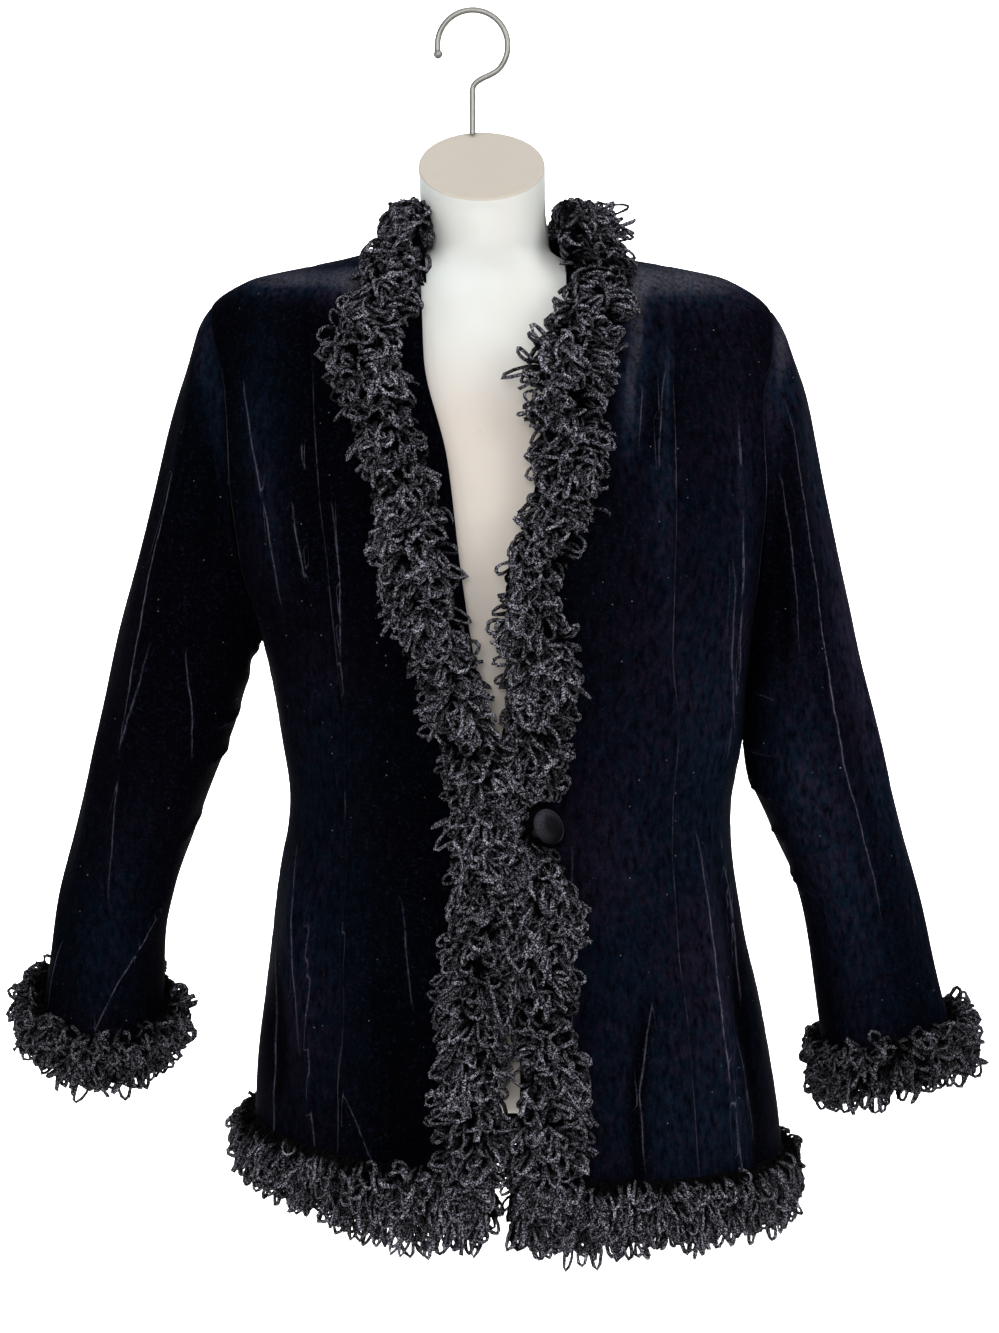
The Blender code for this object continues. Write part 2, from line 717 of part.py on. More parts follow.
def add_collar_trim(yarn):
    end = math.radians(COLLAR[-1][0] - 21)
    middle = 0.60  # share of the collar's height

    def surface(share, across):
        return collar_point(end * (1 - 2 * share), middle + across * TAPE_HALF / COLLAR_HEIGHT)

    def normal(share):
        return collar_normal(end * (1 - 2 * share), middle)

    leans = (0.95, 0.05, 0.10), (0.80, 0.35, 0.0)
    add_trim("trim_collar", surface, normal, 16, leans, yarn, on_round=True)


def add_button(velvet):
    """A domed disc with a shank, turned on its axis and set on the left front's tape."""
    z = BUTTON_Z
    x = front("left_edge", z) + front("left_trim", z) - BUTTON_INSET
    angle = front_angle(x, z)
    seat = body_point(angle, z) + body_normal(angle, z) * (3 * SEAM + TAPE)
    half = BUTTON_THICK / 2
    rim = half * 0.55
    profile = [(0.0, half), (0.55, half * 0.9), (0.86, half * 0.62), (1.0, 0.0), (0.93, -rim), (0.3, -half)]
    outline = [(BUTTON_RADIUS * r, h) for r, h in profile]
    foot = SHANK_FOOT - BUTTON_STAND
    outline += [(SHANK_RADIUS, -half - 0.001), (SHANK_RADIUS, foot), (0.0, foot)]
    shape = bmesh.new()
    verts = [shape.verts.new((r, 0, h)) for r, h in outline]
    edges = [shape.edges.new(pair) for pair in zip(verts, verts[1:])]
    bmesh.ops.spin(
        shape, geom=verts + edges, axis=(0, 0, 1), cent=(0, 0, 0), angle=2 * math.pi, steps=20, use_merge=True
    )
    bmesh.ops.remove_doubles(shape, verts=shape.verts[:], dist=1e-5)
    thing = finished("button", shape, velvet)
    turn = math.radians(BUTTON_TURN_DEG)
    facing = Vector((math.sin(turn), -math.cos(turn), BUTTON_RISE)).normalized()
    thing.rotation_mode = "QUATERNION"
    thing.rotation_quaternion = facing.to_track_quat("Z", "Y")
    thing.location = seat + facing * BUTTON_STAND
    return thing


def add_form(plastic):
    """A smooth limbless torso, closed at the base and cut on a slant at the neck."""
    columns = 20
    heights_up = [-0.806, -0.803, -0.797, -0.787, -0.772, -0.745, -0.71, -0.67, -0.63, -0.585, -0.54, -0.50]
    heights_up += [-0.46, -0.42, -0.38, -0.34, -0.30, -0.262, -0.235, -0.217, -0.206, -0.197, -0.189, -0.18]
    heights_up += [-0.17, -0.15]
    shape = bmesh.new()
    rings = []
    for z in heights_up:
        ring = []
        for i in range(columns):
            angle = 2 * math.pi * i / columns
            depth = form_size("front" if math.cos(angle) > 0 else "back", z)
            radius = section_radius(angle, form_size("half_width", z), depth, FORM_FULLNESS)
            x = form_size("centre", z) + radius * math.sin(angle)
            ring.append(shape.verts.new((x, form_size("mid_y", z) - radius * math.cos(angle), z)))
        rings.append(ring)
    cut = []
    for i in range(columns):
        angle = 2 * math.pi * i / columns
        y = NECK_CUT_CENTRE[1] - NECK_CUT_HALF[1] * math.cos(angle)
        x = NECK_CUT_CENTRE[0] + NECK_CUT_HALF[0] * math.sin(angle)
        cut.append(shape.verts.new((x, y, NECK_CUT_Z + NECK_CUT_SLOPE * (y - NECK_CUT_CENTRE[1]))))
    rings.append(cut)
    for low, high in zip(rings, rings[1:]):
        for i in range(columns):
            j = (i + 1) % columns
            shape.faces.new((low[i], low[j], high[j], high[i]))
    shape.faces.new(rings[0])
    shape.faces.new(rings[-1])
    return finished("torso_form", shape, plastic)


def hook_route():
    """The wire's middle line from its foot in the neck, up the stem, round the crook to its tip."""
    crown = WIRE / 2
    centre = Vector((0, 0, crown - CROOK_RADIUS))
    route = [Vector((0, 0, STEM_FOOT_Z + (STEM_TOP_Z - STEM_FOOT_Z) * i / 3)) for i in range(4)]
    first, last = math.radians(-38), math.radians(180 - CROOK_OPEN_DEG)
    join = centre + CROOK_RADIUS * Vector((math.cos(first), 0, math.sin(first)))
    leave = Vector((-math.sin(first), 0, math.cos(first)))
    foot, bends = route[-1], 6
    reach = (join - foot).length
    for i in range(1, bends):
        t = i / bends
        start, end = Vector((0, 0, 1)) * reach, leave * reach
        step = (2 * t**3 - 3 * t**2 + 1) * foot + (t**3 - 2 * t**2 + t) * start
        route.append(step + (3 * t**2 - 2 * t**3) * join + (t**3 - t**2) * end)
    turns = 18
    for i in range(turns + 1):
        angle = first + (last - first) * i / turns
        route.append(centre + CROOK_RADIUS * Vector((math.cos(angle), 0, math.sin(angle))))
    return route


def add_hook(steel):
    """Wire of round section with a small ball at the tip, as one turned and swept body."""
    sides = 8
    route = hook_route()
    radii = [WIRE / 2] * len(route)
    tip = route[-1]
    run = (route[-1] - route[-2]).normalized()
    ball = HOOK_BALL / 2
    for k in range(1, 6):
        angle = math.pi * (k + 0.6) / 6.6
        route.append(tip + run * ball * (1 - math.cos(angle)))
        radii.append(ball * math.sin(angle))
    shape = bmesh.new()
    rings = []
    across = Vector((0, 1, 0))
    for k, point in enumerate(route):
        ahead = route[min(k + 1, len(route) - 1)] - route[max(k - 1, 0)]
        spread = ahead.normalized().cross(across)
        ring = []
        for i in range(sides):
            turn = 2 * math.pi * i / sides
            spoke = math.cos(turn) * across + math.sin(turn) * spread
            ring.append(shape.verts.new(point + radii[k] * spoke))
        rings.append(ring)
    for low, high in zip(rings, rings[1:]):
        for i in range(sides):
            j = (i + 1) % sides
            shape.faces.new((low[i], low[j], high[j], high[i]))
    shape.faces.new(rings[0])
    shape.faces.new(rings[-1])
    return finished("hook", shape, steel)


def made_material(name):
    colour, roughness, metallic = COLOURS[name]
    material = bpy.data.materials.new(name)
    material.use_nodes = True
    shader = material.node_tree.nodes["Principled BSDF"]
    shader.inputs["Base Color"].default_value = colour
    shader.inputs["Roughness"].default_value = roughness
    shader.inputs["Metallic"].default_value = metallic
    return material


def main():
    for thing in list(bpy.data.objects):
        bpy.data.objects.remove(thing)
    velvet, yarn = made_material("velvet"), made_material("yarn")
    plastic, steel = made_material("plastic"), made_material("steel")
    for side in SIDES:
        add_body(side, velvet)
        add_sleeve(side, velvet)
        add_front_trim(side, yarn)
        add_cuff_trim(side, yarn)
    add_collar(velvet)
    add_collar_trim(yarn)
    add_hem_trim(yarn)
    add_button(velvet)
    add_form(plastic)
    add_hook(steel)


main()
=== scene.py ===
"""Black velvet blazer with looped-yarn trim, hung on a white torso form: its looks.

Metres, +Z up. The front faces -Y, the wearer's left side is +X, and the hook's crown is the origin.
"""

import math

import bmesh
import bpy
import numpy as np
from mathutils import Matrix, Vector


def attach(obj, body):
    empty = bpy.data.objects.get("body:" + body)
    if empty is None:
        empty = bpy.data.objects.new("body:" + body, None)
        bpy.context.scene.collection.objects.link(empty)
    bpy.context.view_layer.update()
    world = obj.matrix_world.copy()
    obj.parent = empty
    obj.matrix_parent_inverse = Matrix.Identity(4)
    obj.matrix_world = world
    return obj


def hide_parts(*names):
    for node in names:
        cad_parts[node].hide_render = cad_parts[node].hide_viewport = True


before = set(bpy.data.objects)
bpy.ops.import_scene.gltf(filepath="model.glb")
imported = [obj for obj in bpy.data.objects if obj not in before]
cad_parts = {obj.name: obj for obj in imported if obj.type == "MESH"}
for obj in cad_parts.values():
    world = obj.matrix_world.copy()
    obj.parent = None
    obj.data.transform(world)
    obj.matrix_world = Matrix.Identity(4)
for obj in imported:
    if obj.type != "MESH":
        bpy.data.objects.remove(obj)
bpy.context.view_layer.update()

# Sizes of the cut, shared with the solids
HEM_Z = -0.848
UNDERARM_Z = -0.468
SHOULDER_Z = -0.218
NECK_Z = -0.170
BACK_NECK_Z = -0.190
BACK_NECK_HALF = 0.058
BACK_NECK_LIMIT = 0.98  # widest that the neck scoop may be, as a share of the section's half width
PRINCESS_LIMIT = 0.999  # furthest out that a princess seam may run, as such a share
MID_Y = -0.020
FULLNESS = 2.3
ARMHOLE_DEPTH = 0.062
ARMHOLE_MIDDLE_Z = (SHOULDER_Z + UNDERARM_Z) / 2
ARMHOLE_HALF = (SHOULDER_Z - UNDERARM_Z) / 2
ARMHOLE_BLEND = 2  # rows of a sleeve's table over which it leaves the armhole's outline
CUFF_DROP = {"right": 0.022, "left": 0.002}
CLOTH = 0.0016
SIDES = {"right": -1, "left": 1}

# Laps that close the seams
SHOULDER_LAP = 0.26  # angle by which a back reaches under the front at the shoulder seam
LAP_RISE = 0.016  # height over which that lap grows
LAP_SLOPE = 0.06  # angle over which it sinks
LAP_SINK = 0.0020
SLEEVE_LAP = 0.008  # how far a sleeve's top edge is turned in under the body at its seam
SIDE_TOP_GAP = 0.0004  # how far below the meeting of its two seams a front side panel ends

# Rows and columns of the cloth's meshes
SKIRT_ROWS = 66
ARMHOLE_ROWS = 48
SHOULDER_ROWS = 16
BACK_SHOULDER_ROWS = 8
NECK_ROWS = 12
FRONT_CENTRE_COLUMNS = 38
FRONT_SIDE_COLUMNS = 32
BACK_COLUMNS = 46
SLEEVE_GRID = (72, 112)
SLEEVE_CROWDING = 1.15  # above 1 a sleeve's rows are closer together at the armhole
COLLAR_GRID = (110, 12)
WELD_GAP = 2e-5

# Steps to either side over which a surface's direction is measured
ANGLE_STEP = 0.02
HEIGHT_STEP = 0.002
SHARE_STEP = 0.004
TURN_STEP = 0.03
RISE_STEP = 0.02

HALVINGS = 36  # how often a search for a crossing halves its range

BODY_COLUMNS = ("z", "half_width", "front", "back", "centre", "tilt", "front_drop")
BODY = (
    (-0.860, 0.1990, 0.136, 0.129, 0.0350, 0.082, 0.016),
    (-0.793, 0.1935, 0.129, 0.120, 0.0325, 0.055, 0.008),
    (-0.733, 0.1862, 0.122, 0.110, 0.0307, 0.034, 0.002),
    (-0.664, 0.1737, 0.112, 0.098, 0.0277, 0.027, 0.0),
    (-0.585, 0.1640, 0.105, 0.088, 0.0275, 0.027, 0.0),
    (-0.529, 0.1725, 0.110, 0.093, 0.0285, 0.027, 0.0),
    (-0.468, 0.17975, 0.117, 0.100, 0.02375, 0.027, 0.0),
    (-0.400, 0.2060, 0.120, 0.104, 0.0200, 0.027, 0.0),
    (-0.330, 0.2210, 0.111, 0.102, 0.0180, 0.025, 0.0),
    (-0.260, 0.2200, 0.094, 0.095, 0.0150, 0.021, 0.0),
    (-0.218, 0.2050, 0.081, 0.085, 0.0140, 0.007, 0.0),
    (-0.197, 0.1750, 0.070, 0.078, 0.0120, -0.002, 0.0),
    (-0.189, 0.1410, 0.0652, 0.0743, 0.0120, -0.002, 0.0),
    (-0.181, 0.1000, 0.0600, 0.0698, 0.0120, 0.004, 0.0),
    (-0.168, 0.0580, 0.050, 0.062, 0.0120, 0.008, 0.0),
)

FRONT_COLUMNS = ("z", "right_edge", "left_edge", "right_trim", "left_trim", "princess")
FRONT = (
    (-0.860, 0.0135, 0.0240, 0.018, 0.028, 0.134),
    (-0.760, 0.0185, 0.0345, 0.018, 0.024, 0.128),
    (-0.680, 0.022, 0.031, 0.018, 0.018, 0.123),
    (-0.610, 0.029, 0.0315, 0.017, 0.018, 0.119),
    (-0.570, 0.028, 0.0305, 0.016, 0.018, 0.119),
    (-0.530, 0.019, 0.029, 0.020, 0.018, 0.120),
    (-0.480, 0.004, 0.028, 0.024, 0.018, 0.121),
    (-0.410, -0.007, 0.032, 0.037, 0.015, 0.125),
    (-0.330, -0.017, 0.048, 0.038, 0.017, 0.129),
    (-0.260, -0.0335, 0.057, 0.040, 0.017, 0.131),
    (-0.200, -0.0375, 0.070, 0.028, 0.020, 0.132),
    (-0.168, -0.0395, 0.070, 0.020, 0.020, 0.132),
)

SLEEVE_COLUMNS = ("step", "outer_x", "outer_z", "inner_x", "inner_z", "half_depth", "mid_y")
SLEEVES = {
    "right": (
        (0, -0.191, -0.2125, -0.156, -0.4630, 0.062, -0.020),
        (1, -0.203, -0.2340, -0.159, -0.4680, 0.062, -0.020),
        (2, -0.214, -0.2730, -0.162, -0.4740, 0.062, -0.020),
        (3, -0.230, -0.3320, -0.165, -0.4830, 0.061, -0.021),
        (4, -0.248, -0.4020, -0.168, -0.4950, 0.060, -0.022),
        (5, -0.265, -0.4690, -0.173, -0.5150, 0.058, -0.024),
        (6, -0.278, -0.5280, -0.184, -0.5430, 0.056, -0.026),
        (7, -0.291, -0.5840, -0.204, -0.5960, 0.052, -0.028),
        (8, -0.303, -0.6320, -0.221, -0.6450, 0.048, -0.030),
        (9, -0.312, -0.6760, -0.229, -0.6870, 0.045, -0.031),
        (10, -0.322, -0.7420, -0.233, -0.7540, 0.044, -0.032),
    ),
    "left": (
        (0, 0.219, -0.2235, 0.200, -0.4728, 0.062, -0.020),
        (1, 0.231, -0.2380, 0.2040, -0.4770, 0.062, -0.020),
        (2, 0.242, -0.2690, 0.2045, -0.4830, 0.062, -0.020),
        (3, 0.254, -0.3210, 0.2045, -0.4910, 0.061, -0.021),
        (4, 0.269, -0.3910, 0.2040, -0.5060, 0.060, -0.022),
        (5, 0.283, -0.4580, 0.2025, -0.5320, 0.058, -0.024),
        (6, 0.297, -0.5170, 0.2045, -0.5590, 0.056, -0.026),
        (7, 0.313, -0.5800, 0.2210, -0.5985, 0.052, -0.028),
        (8, 0.3265, -0.6320, 0.2385, -0.6390, 0.048, -0.030),
        (9, 0.3410, -0.6890, 0.2505, -0.6890, 0.045, -0.031),
        (10, 0.3600, -0.7620, 0.2655, -0.7930, 0.044, -0.032),
    ),
}

COLLAR_COLUMNS = ("degrees", "radius", "base_z")
COLLAR = (
    (-144, 0.0815, -0.2030),
    (-137, 0.0725, -0.1830),
    (-124, 0.0605, -0.1730),
    (-90, 0.0645, -0.1725),
    (-58, 0.0675, -0.1725),
    (-40, 0.0765, -0.1800),
    (-24, 0.0759, -0.1870),
    (0, 0.0724, -0.1905),
    (24, 0.0742, -0.1870),
    (40, 0.0732, -0.1800),
    (58, 0.0636, -0.1725),
    (90, 0.0605, -0.1725),
    (118, 0.0605, -0.1730),
    (133, 0.0745, -0.1830),
    (141, 0.0875, -0.2030),
)
COLLAR_AXIS = (0.014, -0.020)
COLLAR_HEIGHT = 0.030
COLLAR_TILT = 0.012
COLLAR_FLARE = 0.007

# Creases of the body: the line each follows (x, z), half width, height (minus is a trough)
# and how far the pile is crushed pale along it, drawn as a painted highlight; this also scales a ridge's
# painted sheen
BODY_CREASES = (
    ("front", ((0.160, -0.590), (0.172, -0.690), (0.182, -0.760), (0.198, -0.850)), 0.0110, 0.0052, 0.9),
    ("front", ((0.178, -0.600), (0.192, -0.680), (0.200, -0.745), (0.212, -0.840)), 0.0080, -0.0035, 0.0),
    ("front", ((0.181, -0.595), (0.190, -0.655), (0.198, -0.720)), 0.0045, 0.0022, 0.6),
    ("front", ((0.190, -0.735), (0.206, -0.810)), 0.0045, 0.0020, 0.5),
    ("front", ((0.129, -0.700), (0.119, -0.770), (0.123, -0.850)), 0.0100, -0.0040, 0.0),
    ("front", ((0.131, -0.705), (0.121, -0.770), (0.125, -0.820)), 0.0035, 0.0014, 0.6),
    ("front", ((0.189, -0.280), (0.191, -0.400), (0.192, -0.470), (0.184, -0.545)), 0.0100, 0.0038, 0.7),
    ("front", ((0.184, -0.395), (0.187, -0.510)), 0.0040, 0.0016, 0.5),
    ("front", ((0.139, -0.262), (0.133, -0.330)), 0.0120, -0.0030, 0.0),
    ("front", ((0.138, -0.255), (0.131, -0.335)), 0.0050, 0.0024, 0.5),
    ("front", ((0.121, -0.270), (0.117, -0.320)), 0.0060, 0.0022, 0.4),
    ("front", ((0.071, -0.600), (0.072, -0.740)), 0.0040, 0.0014, 0.4),
    ("front", ((-0.164, -0.272), (-0.152, -0.331), (-0.144, -0.371), (-0.134, -0.438)), 0.0110, 0.0036, 0.7),
    ("front", ((-0.120, -0.315), (-0.116, -0.340)), 0.0050, 0.0018, 0.5),
    ("front", ((-0.126, -0.360), (-0.118, -0.423)), 0.0060, 0.0022, 0.6),
    ("front", ((-0.098, -0.358), (-0.093, -0.405), (-0.091, -0.500)), 0.0045, 0.0018, 0.6),
    ("front", ((-0.129, -0.612), (-0.127, -0.679), (-0.125, -0.765)), 0.0110, 0.0044, 0.6),
    ("front", ((-0.117, -0.655), (-0.116, -0.784), (-0.107, -0.870)), 0.0050, 0.0020, 0.5),
    ("front", ((-0.144, -0.706), (-0.142, -0.797)), 0.0080, -0.0028, 0.0),
    (
        "front",
        ((-0.094, -0.730), (-0.0915, -0.782), (-0.081, -0.800), (-0.068, -0.826), (-0.058, -0.850)),
        0.0060,
        0.0022,
        0.5,
    ),
    ("front", ((-0.1450, -0.690), (-0.1440, -0.880)), 0.0035, 0.0010, 0.5),
    ("front", ((-0.060, -0.700), (-0.040, -0.850)), 0.0130, -0.0030, 0.0),
    ("front", ((-0.051, -0.640), (-0.041, -0.720)), 0.0040, 0.0014, 0.4),
    ("back", ((-0.090, -0.600), (-0.120, -0.850)), 0.0140, 0.0050, 0.3),
    ("back", ((-0.020, -0.640), (-0.010, -0.850)), 0.0140, -0.0045, 0.0),
    ("back", ((0.110, -0.600), (0.150, -0.850)), 0.0140, 0.0050, 0.3),
    ("back", ((0.080, -0.240), (0.085, -0.460)), 0.0140, 0.0035, 0.3),
    ("back", ((-0.070, -0.240), (-0.065, -0.460)), 0.0140, 0.0035, 0.3),
    ("back", ((0.060, -0.620), (0.072, -0.760)), 0.0060, 0.0022, 0.5),
    ("back", ((-0.055, -0.560), (-0.062, -0.700)), 0.0060, 0.0022, 0.5),
    ("back", ((0.030, -0.520), (-0.060, -0.560)), 0.0070, 0.0020, 0.2),
    ("back", ((0.100, -0.500), (0.040, -0.590)), 0.0070, 0.0020, 0.2),
)

# Creases of the sleeves: (turn in degrees, share of the length), half width, height, crush drawn as a
# painted highlight
SLEEVE_CREASES = (
    ("left", ((52, 0.10), (66, 0.32), (72, 0.62), (78, 0.86)), 0.0050, 0.0026, 0.9),
    ("left", ((100, 0.12), (104, 0.30), (110, 0.42)), 0.0060, -0.0030, 0.0),
    ("left", ((80, 0.10), (86, 0.30), (94, 0.44)), 0.0050, 0.0030, 0.5),
    ("left", ((178, 0.18), (180, 0.64)), 0.0300, 0.0024, 0.0),
    ("left", ((150, 0.40), (120, 0.47)), 0.0090, 0.0030, 0.3),
    ("left", ((176, 0.52), (128, 0.58)), 0.0080, 0.0032, 0.3),
    ("left", ((178, 0.62), (132, 0.66)), 0.0075, 0.0036, 0.3),
    ("left", ((182, 0.70), (138, 0.73)), 0.0070, 0.0036, 0.3),
    ("left", ((178, 0.78), (140, 0.82)), 0.0070, 0.0030, 0.3),
    ("left", ((20, 0.45), (30, 0.80)), 0.0100, 0.0020, 0.2),
    ("left", ((300, 0.15), (290, 0.60)), 0.0100, 0.0030, 0.3),
    ("left", ((230, 0.40), (270, 0.52)), 0.0090, 0.0030, 0.2),
    ("left", ((235, 0.55), (280, 0.66)), 0.0090, 0.0030, 0.2),
    ("right", ((42, 0.20), (50, 0.42), (62, 0.62)), 0.0060, 0.0028, 0.9),
    ("right", ((64, 0.45), (62, 0.62), (86, 0.80)), 0.0050, 0.0020, 0.6),
    ("right", ((95, 0.42), (112, 0.52), (124, 0.60)), 0.0060, 0.0030, 0.7),
    ("right", ((80, 0.10), (92, 0.30)), 0.0090, -0.0040, 0.0),
    ("right", ((150, 0.80), (84, 0.98)), 0.0055, 0.0028, 0.8),
    ("right", ((40, 0.88), (30, 0.97)), 0.0055, 0.0018, 0.6),
    ("right", ((180, 0.48), (140, 0.54)), 0.0080, 0.0026, 0.3),
    ("right", ((182, 0.58), (140, 0.62)), 0.0080, 0.0028, 0.3),
    ("right", ((180, 0.68), (145, 0.72)), 0.0075, 0.0024, 0.3),
    ("right", ((300, 0.15), (288, 0.60)), 0.0100, 0.0030, 0.3),
    ("right", ((230, 0.42), (270, 0.54)), 0.0090, 0.0030, 0.2),
    ("right", ((235, 0.58), (280, 0.68)), 0.0090, 0.0030, 0.2),
)

# Torso form that the garment hangs on
FORM_COLUMNS = ("z", "half_width", "front", "back", "centre", "mid_y")
FORM = (
    (-0.806, 0.090, 0.055, 0.050, 0.031, -0.020),
    (-0.797, 0.138, 0.088, 0.082, 0.031, -0.020),
    (-0.775, 0.162, 0.108, 0.096, 0.031, -0.020),
    (-0.733, 0.166, 0.112, 0.098, 0.030, -0.020),
    (-0.664, 0.156, 0.102, 0.088, 0.027, -0.020),
    (-0.585, 0.146, 0.094, 0.078, 0.027, -0.020),
    (-0.529, 0.150, 0.098, 0.082, 0.025, -0.020),
    (-0.468, 0.158, 0.105, 0.089, 0.022, -0.020),
    (-0.400, 0.166, 0.108, 0.093, 0.020, -0.020),
    (-0.330, 0.172, 0.100, 0.091, 0.018, -0.020),
    (-0.260, 0.170, 0.084, 0.084, 0.015, -0.020),
    (-0.228, 0.160, 0.073, 0.076, 0.014, -0.020),
    (-0.208, 0.138, 0.064, 0.068, 0.012, -0.022),
    (-0.197, 0.108, 0.058, 0.061, 0.011, -0.025),
    (-0.188, 0.066, 0.053, 0.055, 0.011, -0.030),
    (-0.174, 0.0450, 0.049, 0.050, 0.011, -0.036),
    (-0.150, 0.0455, 0.047, 0.047, 0.008, -0.039),
)
FORM_FULLNESS = 2.1
NECK_CUT_Z = -0.1145
NECK_CUT_SLOPE = 0.61
NECK_CUT_CENTRE = (0.007, -0.040)
NECK_CUT_HALF = (0.046, 0.047)
FORM_SIDES = 80
FORM_BASE = (0.031, -0.020, -0.8085)  # middle of the underside
FOOT_Z = -0.806
FOOT_RISE = 0.009
FOOT_RINGS = 6
FOOT_CROWDING = 1.5
FORM_RINGS = ((-0.794, -0.70, 16), (-0.69, -0.24, 46), (-0.235, -0.15, 26))  # from, to, how many
NECK_STEPS = 6
# Rings of the cap on the neck: share of the cut's half size, drop below its plane
CAP_RINGS = (
    (1.0, 0.0015),
    (0.999, 0.0008),
    (0.990, 0.0002),
    (0.975, 0.0),
    (0.93, 0.0),
    (0.8, 0.0),
    (0.6, 0.0),
    (0.4, 0.0),
    (0.2, 0.0),
    (0.0, 0.0),
)
CAP_BAND = 0.0012  # depth below the cut's plane that takes the cap's finish
CAP_SLACK = 0.01  # how far below the cap's lowest ring a face may still take that finish

# Wire hook
WIRE = 0.0046
CROOK_RADIUS = 0.026
HOOK_BALL = 0.0068
STEM_TOP_Z = -0.056
STEM_FOOT_Z = -0.0884
STEM_STEPS = 4
BEND_STEPS = 10
CROOK_STEPS = 48
CROOK_FROM_DEG = -38
CROOK_TO_DEG = 188
WIRE_ROUNDING = 5
BALL_SIDES = (24, 14)
BALL_OFFSET = 0.4  # how far past the wire's end the ball's middle is, as a share of its size

# Covered button
BUTTON_RADIUS = 0.0130
BUTTON_THICK = 0.0085
BUTTON_Z = -0.593
BUTTON_INSET = 0.006
BUTTON_TURN_DEG = 43
BUTTON_RISE = 0.43
BUTTON_STAND = 0.0180
BUTTON_SEAT = 0.0034
SHANK_FOOT = 0.0031
BUTTON_CLEAR = 0.0165
BUTTON_SIDES = 56
DOME_STEPS = 14
DOME_POWER = 0.8  # below 1 the dome is fuller than half an ellipse
UNDER_STEPS = 7
UNDER_TUCK = 0.16  # how far the cover is drawn in under the button, as a share of its radius
UNDER_DEPTH = 0.75
SHANK_HEAD_RADIUS = 0.0045
SHANK_HEAD_DEPTH = 0.95
SHANK_RADIUS = 0.0030
SHANK_NECK = 0.001
RIM_PLACE = 0.97  # the button's painted rim highlight, as a share of its radius
RIM_HALF = 0.05

# Marks on the velvet
CREASE_WAVER = 0.0004  # how far a crease strays from its route
CREASE_FADE = 0.6  # power below 1, so that a crease keeps its height nearly to its ends
CREASE_BAND = 0.6  # half width of the pale band (painted highlight) along a crushed line, as a share of LINE_REACH
LINE_REACH = 0.006  # how far to each side of a crushed line its mark is followed
LIT_SPREAD = 0.85  # how far the painted sheen beside a ridge spreads on its lit side, as a share of its half width
FAR_SPREAD = 0.25
BROAD_CREASE = 0.007  # half width above which a ridge gets strong painted sheen
BROAD_SHEEN = 0.30
FINE_SHEEN = 0.06
TROUGH_SHADE = 0.5
TROUGH_SPREAD = 0.8
CLOTH_WAVE = 0.0006  # height of the slow unevenness of hanging cloth
CLOTH_WAVES = ((9, 14, 0.0, 1.0), (17, -31, 1.3, 1.0), (5, 55, 0.4, 0.7))  # round, along, start, share
SEWN_SINK = 0.0010  # how far cloth sinks beside a seam
EDGE_SINK = 0.0005
SEAM_HALF = 0.0026
PUCKER_HEIGHT = 0.0002
PUCKER_PLACE = 0.005
PUCKER_HALF = 0.004
SEAM_LINE = 0.0013
SEAM_LINE_TOP = -0.24  # above this a seam shows no pale line
SEAM_LINE_FADE = 0.08
SEAM_LINE_HIGHLIGHT = 0.62
EDGE_BAND = 0.5  # half width of the pale band (painted highlight) along a seam, as a share of LINE_REACH
SLEEVE_LENGTH = 0.58
SLEEVE_RADIUS = 0.05
SLEEVE_WAVE = 0.0005
SLEEVE_SEAM_SINK = 0.0013
SLEEVE_SEAM_HALF = 0.0028
UNDER_SEAM_DEG = 200
UNDER_SEAM_SINK = 0.0010
UNDER_SEAM_HALF = 0.0022
ARMHOLE_SHADE = 0.0045  # width of the painted shade of the fold on the sleeve beside the armhole
FOLD_EDGE_HIGHLIGHT = 0.5
FOLD_SHADE = 1.2
FOLD_FADE = 0.002

# Soft patches of painted sheen: place, half size and strength. Place and size are x and z,
# or on a sleeve its turn in degrees and the share of its length.
SHEEN_PATCHES = (
    ("front", (0.160, -0.480), (0.075, 0.420), 0.17),
    ("front", (0.150, -0.199), (0.075, 0.016), 1.30),
    ("front", (0.190, -0.340), (0.020, 0.130), 0.12),
    ("front", (0.119, -0.235), (0.007, 0.040), 1.05),
    ("front", (0.111, -0.285), (0.006, 0.040), 0.95),
    ("front", (0.139, -0.280), (0.0035, 0.035), 0.95),
    ("front", (0.135, -0.330), (0.010, 0.090), 0.35),
    ("front", (0.175, -0.500), (0.030, 0.080), 0.32),
    ("front", (0.185, -0.660), (0.026, 0.130), 0.40),
    ("front", (0.110, -0.640), (0.050, 0.160), 0.26),
    ("front", (0.150, -0.790), (0.060, 0.060), 0.30),
    ("front", (-0.125, -0.198), (0.060, 0.012), 1.25),
    ("front", (-0.085, -0.207), (0.014, 0.020), 0.75),
    ("front", (-0.150, -0.330), (0.016, 0.110), 0.22),
    ("front", (-0.110, -0.520), (0.030, 0.070), 0.18),
    ("front", (-0.120, -0.690), (0.040, 0.140), 0.30),
    ("back", (-0.110, -0.205), (0.080, 0.026), 0.80),
    ("back", (0.150, -0.205), (0.080, 0.026), 0.80),
    ("back", (0.170, -0.560), (0.040, 0.160), 0.45),
    ("back", (-0.110, -0.600), (0.040, 0.170), 0.35),
    ("back", (0.030, -0.400), (0.050, 0.160), 0.25),
    ("sleeve_left", (20, 0.05), (50, 0.07), 0.85),
    ("sleeve_left", (30, 0.45), (26, 0.45), 0.80),
    ("sleeve_left", (110, 0.72), (34, 0.25), 0.75),
    ("sleeve_left", (300, 0.40), (40, 0.40), 0.40),
    ("sleeve_right", (20, 0.05), (50, 0.07), 0.70),
    ("sleeve_right", (24, 0.55), (26, 0.40), 0.06),
    ("sleeve_right", (90, 0.85), (40, 0.18), 0.26),
    ("sleeve_right", (300, 0.40), (40, 0.40), 0.40),
)

